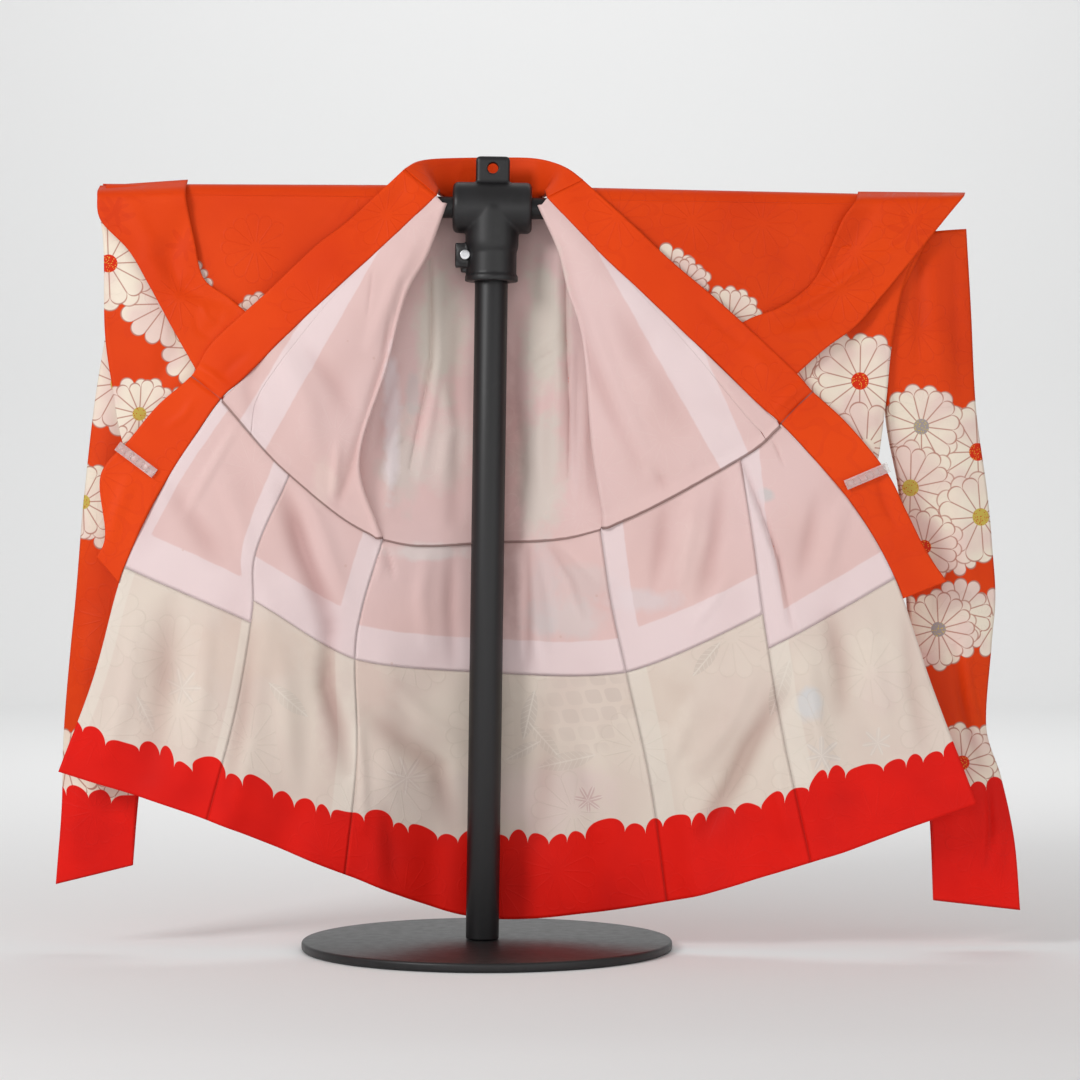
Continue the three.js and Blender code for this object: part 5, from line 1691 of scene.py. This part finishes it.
def build_coupling():
    """The moulded joint: the bar's block, the pole's socket with its lip, the tab above and the clamp's boss."""
    top = BAR_HEIGHT + SOCKET_RADIUS
    ends = [(x, 0, BAR_HEIGHT) for x in (-COUPLING_HALF, COUPLING_HALF)]
    obj = cylinder("stand_coupling_shape", SOCKET_RADIUS, *ends)
    apply_modifier(obj, "BEVEL", width=5 * MM, segments=4, limit_method="ANGLE")
    tab = block("tab", (-17, -6, top - 10), (17, 6, top + 26))
    apply_modifier(tab, "BEVEL", width=4 * MM, segments=4, limit_method="ANGLE")
    column = cylinder("column", SOCKET_RADIUS + 1.1, (0, 0, SOCKET_BOTTOM + 16), (0, 0, BAR_HEIGHT + 17))
    apply_modifier(column, "BEVEL", width=22 * MM, segments=10, limit_method="ANGLE")
    parts = [
        cylinder("socket", SOCKET_RADIUS - 0.6, (0, 0, SOCKET_BOTTOM + 3), (0, 0, BAR_HEIGHT)),
        cylinder("lip", SOCKET_RADIUS + 1, (0, 0, SOCKET_BOTTOM), (0, 0, SOCKET_BOTTOM + 6)),
        tab,
        block("clamp", (CLAMP_X - 8, -8, CLAMP_Z - 12), (CLAMP_X + 14, 8, CLAMP_Z + 12)),
        cylinder("nub", 4.5, (CLAMP_X + 2, 0, CLAMP_Z - 17), (CLAMP_X + 2, 0, CLAMP_Z)),
        cylinder("boss", 8.6, (CLAMP_X + 2, -9.4, CLAMP_Z), (CLAMP_X + 2, 8, CLAMP_Z)),
        column,
    ]
    cut(obj, *parts, operation="UNION")
    cut(obj,
        cylinder("tab_hole", 5.4, (0, -12, top + 14), (0, 12, top + 14), 48),
        cylinder("bar_bore", BAR_RADIUS + 0.5, (-60, 0, BAR_HEIGHT), (60, 0, BAR_HEIGHT)),
        cylinder("pole_bore", POLE_RADIUS + 0.5, (0, 0, SOCKET_BOTTOM - 5), (0, 0, POLE_TOP + 0.6)))
    apply_modifier(obj, "REMESH", mode="VOXEL", voxel_size=COUPLING_CELL * MM)
    apply_modifier(obj, "SMOOTH", factor=0.5, iterations=4)
    settle(obj, upright())
    finish_rigid(obj, "stand_coupling", "black", 60)


def build_bolt():
    """The clamp's screw head, with its six-sided socket."""
    x, front = CLAMP_X + 2, -9.9
    obj = cylinder("stand_clamp_bolt_shape", 5.0, (x, front - 3.4, CLAMP_Z), (x, front, CLAMP_Z), 64)
    apply_modifier(obj, "BEVEL", width=0.7 * MM, segments=3, limit_method="ANGLE")
    cut(obj, cylinder("key", 2.4, (x, front - 5, CLAMP_Z), (x, front - 1.6, CLAMP_Z), 6))
    settle(obj, upright())
    finish_rigid(obj, "stand_clamp_bolt", "steel")


CLIPS = {"left": ((-364, -36.2, 501), 37.0), "right": ((397, -36.8, 480), 157.0)}


def build_clip(side):
    """Two sprung jaws that close on the collar, ribbed at the grip, with a round pin."""
    (x, y, z), degrees = CLIPS[side]
    half = 3.8
    obj = block(f"clip_{side}_shape", (0, -5.4, -5), (2.6, 5.4, 5))
    parts = [
        block("front_jaw", (0.4, -half - 1.6, -5), (46, -half, 5)),
        block("back_jaw", (0.4, half, -5), (46, half + 1.6, 5)),
    ]
    parts += [block("rail", (1, -half - 2.5, z - 0.7), (45, -half - 1, z + 0.7)) for z in (-4.2, 4.2)]
    parts += [cylinder("pin", 2.2, (2.4, -half - 2.6, 0), (2.4, -half, 0), 32)]
    parts += [cylinder("grip", 0.6, (10 + 7 * i, -half - 1.9, -4), (10 + 7 * i, -half - 1.9, 4), 16) for i in range(6)]
    cut(obj, *parts, operation="UNION")
    apply_modifier(obj, "BEVEL", width=0.4 * MM, segments=2, limit_method="ANGLE", angle_limit=math.radians(50))
    place_at = Matrix.Translation(Vector((x, y, z)) * MM) @ Matrix.Rotation(math.radians(degrees), 4, "Y")
    settle(obj, place_at)
    finish_rigid(obj, f"clip_{side}", "clear", 40)


# The stage


SWEEP = (16.0, 11.0, 5.5, 5.5)  # the paper's width, depth and height, and where its wall stands, in metres
GARMENT = (0.05, 0.0, 0.42)  # what most lamps aim at
# Each lamp's place, aim and width in metres, and its power as a share of the key lamp's
LAMPS = [
    ("key", (-2.1, -2.3, 1.8), GARMENT, 1.0, 1.0), ("fill", (2.2, -2.6, 0.6), GARMENT, 2.4, 0.46),
    ("low", (-0.1, -3.0, 0.1), GARMENT, 2.2, 0.42), ("back", (0.1, 2.2, 3.4), (0.05, 5.2, 0.3), 3.0, 1.5),
]
CAMERA_PLACE, CAMERA_LENS = (0.053, -3.2, 0.408), 106.7


def build_stage():
    """A sheet of pale paper that sweeps up behind the stand, soft lamps and the camera."""
    wide, deep, rise, back = SWEEP
    bpy.ops.mesh.primitive_plane_add(size=1, location=(0, 0, 0))
    obj = bpy.context.object
    obj.name = "studio_sweep"
    obj.scale = (wide, deep, 1)
    obj.location = (0, back - deep / 2, -0.0004)
    bpy.ops.object.transform_apply(location=True, rotation=False, scale=True)
    bpy.ops.object.mode_set(mode="EDIT")
    bpy.ops.mesh.select_mode(type="EDGE")
    bpy.ops.mesh.select_all(action="DESELECT")
    bpy.ops.object.mode_set(mode="OBJECT")
    for edge in obj.data.edges:
        edge.select = all(obj.data.vertices[i].co.y > back - 0.01 for i in edge.vertices)
    bpy.ops.object.mode_set(mode="EDIT")
    bpy.ops.mesh.extrude_region_move(TRANSFORM_OT_translate={"value": (0, 0, rise)})
    bpy.ops.object.mode_set(mode="OBJECT")
    apply_modifier(obj, "BEVEL", width=0.9, segments=24, limit_method="ANGLE")
    smooth_by_angle(obj, 40)
    obj.data.materials.append(finish_of("floor"))
    look = settings()
    for name, place_at, aim, size, share in LAMPS:
        bpy.ops.object.light_add(type="AREA", location=place_at)
        lamp = bpy.context.object
        lamp.name = f"{name}_light"
        lamp.data.energy, lamp.data.size = look.key_power * share, size
        lamp.rotation_euler = (Vector(aim) - Vector(place_at)).to_track_quat("-Z", "Y").to_euler()
    world = bpy.data.worlds.new("soft_room")
    world.use_nodes = True
    sky = world.node_tree.nodes["Background"]
    sky.inputs["Color"].default_value = (1.0, 0.985, 0.985, 1.0)
    sky.inputs["Strength"].default_value = look.room_light
    bpy.context.scene.world = world
    bpy.ops.object.camera_add(location=CAMERA_PLACE, rotation=(math.pi / 2, 0, 0))
    camera = bpy.context.object
    camera.name = "photo_camera"
    camera.data.lens, camera.data.sensor_width = CAMERA_LENS, 36.0
    bpy.context.scene.camera = camera
    bpy.context.scene.view_settings.view_transform = "Standard"


# The add-on


def colour_setting(name, description, default):
    return bpy.props.FloatVectorProperty(
        name=name, description=description, default=srgb(*default), min=0.0, max=1.0, size=4, subtype="COLOR")


class KimonoSettings(bpy.types.PropertyGroup):
    """Colours, sizes and light that a user would change."""

    orange: colour_setting("Outer silk", "Ground colour of the printed silk", (222, 66, 2))
    red: colour_setting("Dyed hem", "Colour of the dyed hem below the scallops", (224, 20, 6))
    petal: colour_setting("Petals", "Colour of the printed petals", (234, 222, 204))
    pink: colour_setting("Lining", "Colour of the body's lining", (224, 193, 190))
    cream: colour_setting("Hem lining", "Colour of the lining above the dyed hem", (222, 208, 195))
    cloth_cell: bpy.props.FloatProperty(
        name="Cloth cell", description="Width of one mesh cell of cloth", default=0.0034, min=0.002, max=0.012,
        unit="LENGTH")
    edge_round: bpy.props.FloatProperty(
        name="Tube edge", description="Rounding of the stand's tube ends", default=0.0014, min=0.0004, max=0.002,
        unit="LENGTH")
    crease_depth: bpy.props.FloatProperty(
        name="Crease depth", description="Depth of the creases, as a share of the tables'", default=1.5, min=0.0,
        max=2.0,
        subtype="FACTOR")
    wave_height: bpy.props.FloatProperty(
        name="Wave height", description="Unevenness of the hanging cloth, in mm", default=0.9, min=0.0, max=2.0)
    key_power: bpy.props.FloatProperty(
        name="Key light", description="Power of the main lamp", default=46.0, min=0.0, unit="POWER")
    room_light: bpy.props.FloatProperty(
        name="Room light", description="Strength of the light from all round", default=0.47, min=0.0)


class KIMONO_OT_skirt(bpy.types.Operator):
    """The six outer panels below the waist"""

    bl_idname = "kimono.skirt"
    bl_label = "Skirt panels"

    def execute(self, context):
        for panel in PANELS:
            skirt_piece(panel, "outer")
        return {"FINISHED"}


class KIMONO_OT_skirt_lining(bpy.types.Operator):
    """The pink lining and the cream hem lining of each skirt panel"""

    bl_idname = "kimono.skirt_lining"
    bl_label = "Skirt linings"

    def execute(self, context):
        for panel in PANELS:
            skirt_piece(panel, "lining")
            skirt_piece(panel, "hem")
        return {"FINISHED"}


class KIMONO_OT_waist_tuck(bpy.types.Operator):
    """The fold of outer cloth taken up at the waist, in three lengths"""

    bl_idname = "kimono.waist_tuck"
    bl_label = "Waist tuck"

    def execute(self, context):
        for name, start, end in TUCKS:
            waist_tuck(name, start, end)
        return {"FINISHED"}


class KIMONO_OT_back(bpy.types.Operator):
    """The back's two halves above the waist, with their linings"""

    bl_idname = "kimono.back"
    bl_label = "Upper back"

    def execute(self, context):
        for half in (0, 1):
            upper_back(half, "outer")
            upper_back(half, "lining")
        return {"FINISHED"}


class KIMONO_OT_fronts(bpy.types.Operator):
    """The two fronts turned back on themselves, with their overlap wedges and linings"""

    bl_idname = "kimono.fronts"
    bl_label = "Turned-back fronts"

    def execute(self, context):
        for side in ("left", "right"):
            for layer in ("outer", "lining"):
                front_piece(side, layer)
                strip_piece(side, layer)
        return {"FINISHED"}


class KIMONO_OT_collar(bpy.types.Operator):
    """The collar band down both fronts and round the back of the neck"""

    bl_idname = "kimono.collar"
    bl_label = "Collar"

    def execute(self, context):
        collar_band("left")
        collar_band("right")
        neck_band()
        return {"FINISHED"}


class KIMONO_OT_shoulders(bpy.types.Operator):
    """The body cloth where it passes over the crossbar"""

    bl_idname = "kimono.shoulders"
    bl_label = "Shoulders"

    def execute(self, context):
        for name, start, end in SHOULDERS:
            shoulder(name, start, end)
        return {"FINISHED"}


class KIMONO_OT_sleeves(bpy.types.Operator):
    """The sheets of both sleeves and their hanging bags"""

    bl_idname = "kimono.sleeves"
    bl_label = "Sleeves"

    def execute(self, context):
        for side in SLEEVES:
            for part in ("yoke", "back", "flap", "cuff"):
                sleeve_sheet(side, part)
            for wall in ("front", "back"):
                sleeve_bag(side, wall)
        return {"FINISHED"}


class KIMONO_OT_clips(bpy.types.Operator):
    """The two clear clips on the collar's outer edges"""

    bl_idname = "kimono.clips"
    bl_label = "Clips"

    def execute(self, context):
        for side in CLIPS:
            build_clip(side)
        return {"FINISHED"}


class KIMONO_OT_tubes(bpy.types.Operator):
    """The stand's pole and crossbar"""

    bl_idname = "kimono.tubes"
    bl_label = "Stand tubes"

    def execute(self, context):
        build_pole()
        build_crossbar()
        return {"FINISHED"}


class KIMONO_OT_coupling(bpy.types.Operator):
    """The moulded joint between pole and crossbar, with its clamp bolt"""

    bl_idname = "kimono.coupling"
    bl_label = "Stand coupling"

    def execute(self, context):
        build_coupling()
        build_bolt()
        return {"FINISHED"}


class KIMONO_OT_base(bpy.types.Operator):
    """The stand's round base"""

    bl_idname = "kimono.base"
    bl_label = "Stand base"

    def execute(self, context):
        build_base()
        return {"FINISHED"}


class KIMONO_OT_stage(bpy.types.Operator):
    """Paper sweep, lamps, room light and camera"""

    bl_idname = "kimono.stage"
    bl_label = "Stage"

    def execute(self, context):
        build_stage()
        return {"FINISHED"}


OPERATORS = (
    KIMONO_OT_skirt, KIMONO_OT_skirt_lining, KIMONO_OT_waist_tuck, KIMONO_OT_back, KIMONO_OT_fronts,
    KIMONO_OT_collar, KIMONO_OT_shoulders, KIMONO_OT_sleeves, KIMONO_OT_clips, KIMONO_OT_tubes,
    KIMONO_OT_coupling, KIMONO_OT_base, KIMONO_OT_stage,
)


class KIMONO_PT_build(bpy.types.Panel):
    """Lists the settings and the operators in the order they run."""

    bl_label = "Child Kimono"
    bl_idname = "KIMONO_PT_build"
    bl_space_type = "VIEW_3D"
    bl_region_type = "UI"
    bl_category = "Kimono"

    def draw(self, context):
        for name in KimonoSettings.__annotations__:
            self.layout.prop(context.scene.kimono, name)
        for kind in OPERATORS:
            self.layout.operator(kind.bl_idname)


CLASSES = (KimonoSettings, *OPERATORS, KIMONO_PT_build)


def register():
    for kind in CLASSES:
        bpy.utils.register_class(kind)
    bpy.types.Scene.kimono = bpy.props.PointerProperty(type=KimonoSettings)


def unregister():
    del bpy.types.Scene.kimono
    for kind in reversed(CLASSES):
        bpy.utils.unregister_class(kind)


def main():
    register()
    bpy.ops.object.select_all(action="DESELECT")
    for kind in OPERATORS:
        group, name = kind.bl_idname.split(".")
        getattr(getattr(bpy.ops, group), name)()
    bpy.context.view_layer.update()


if __name__ == "__main__":
    main()
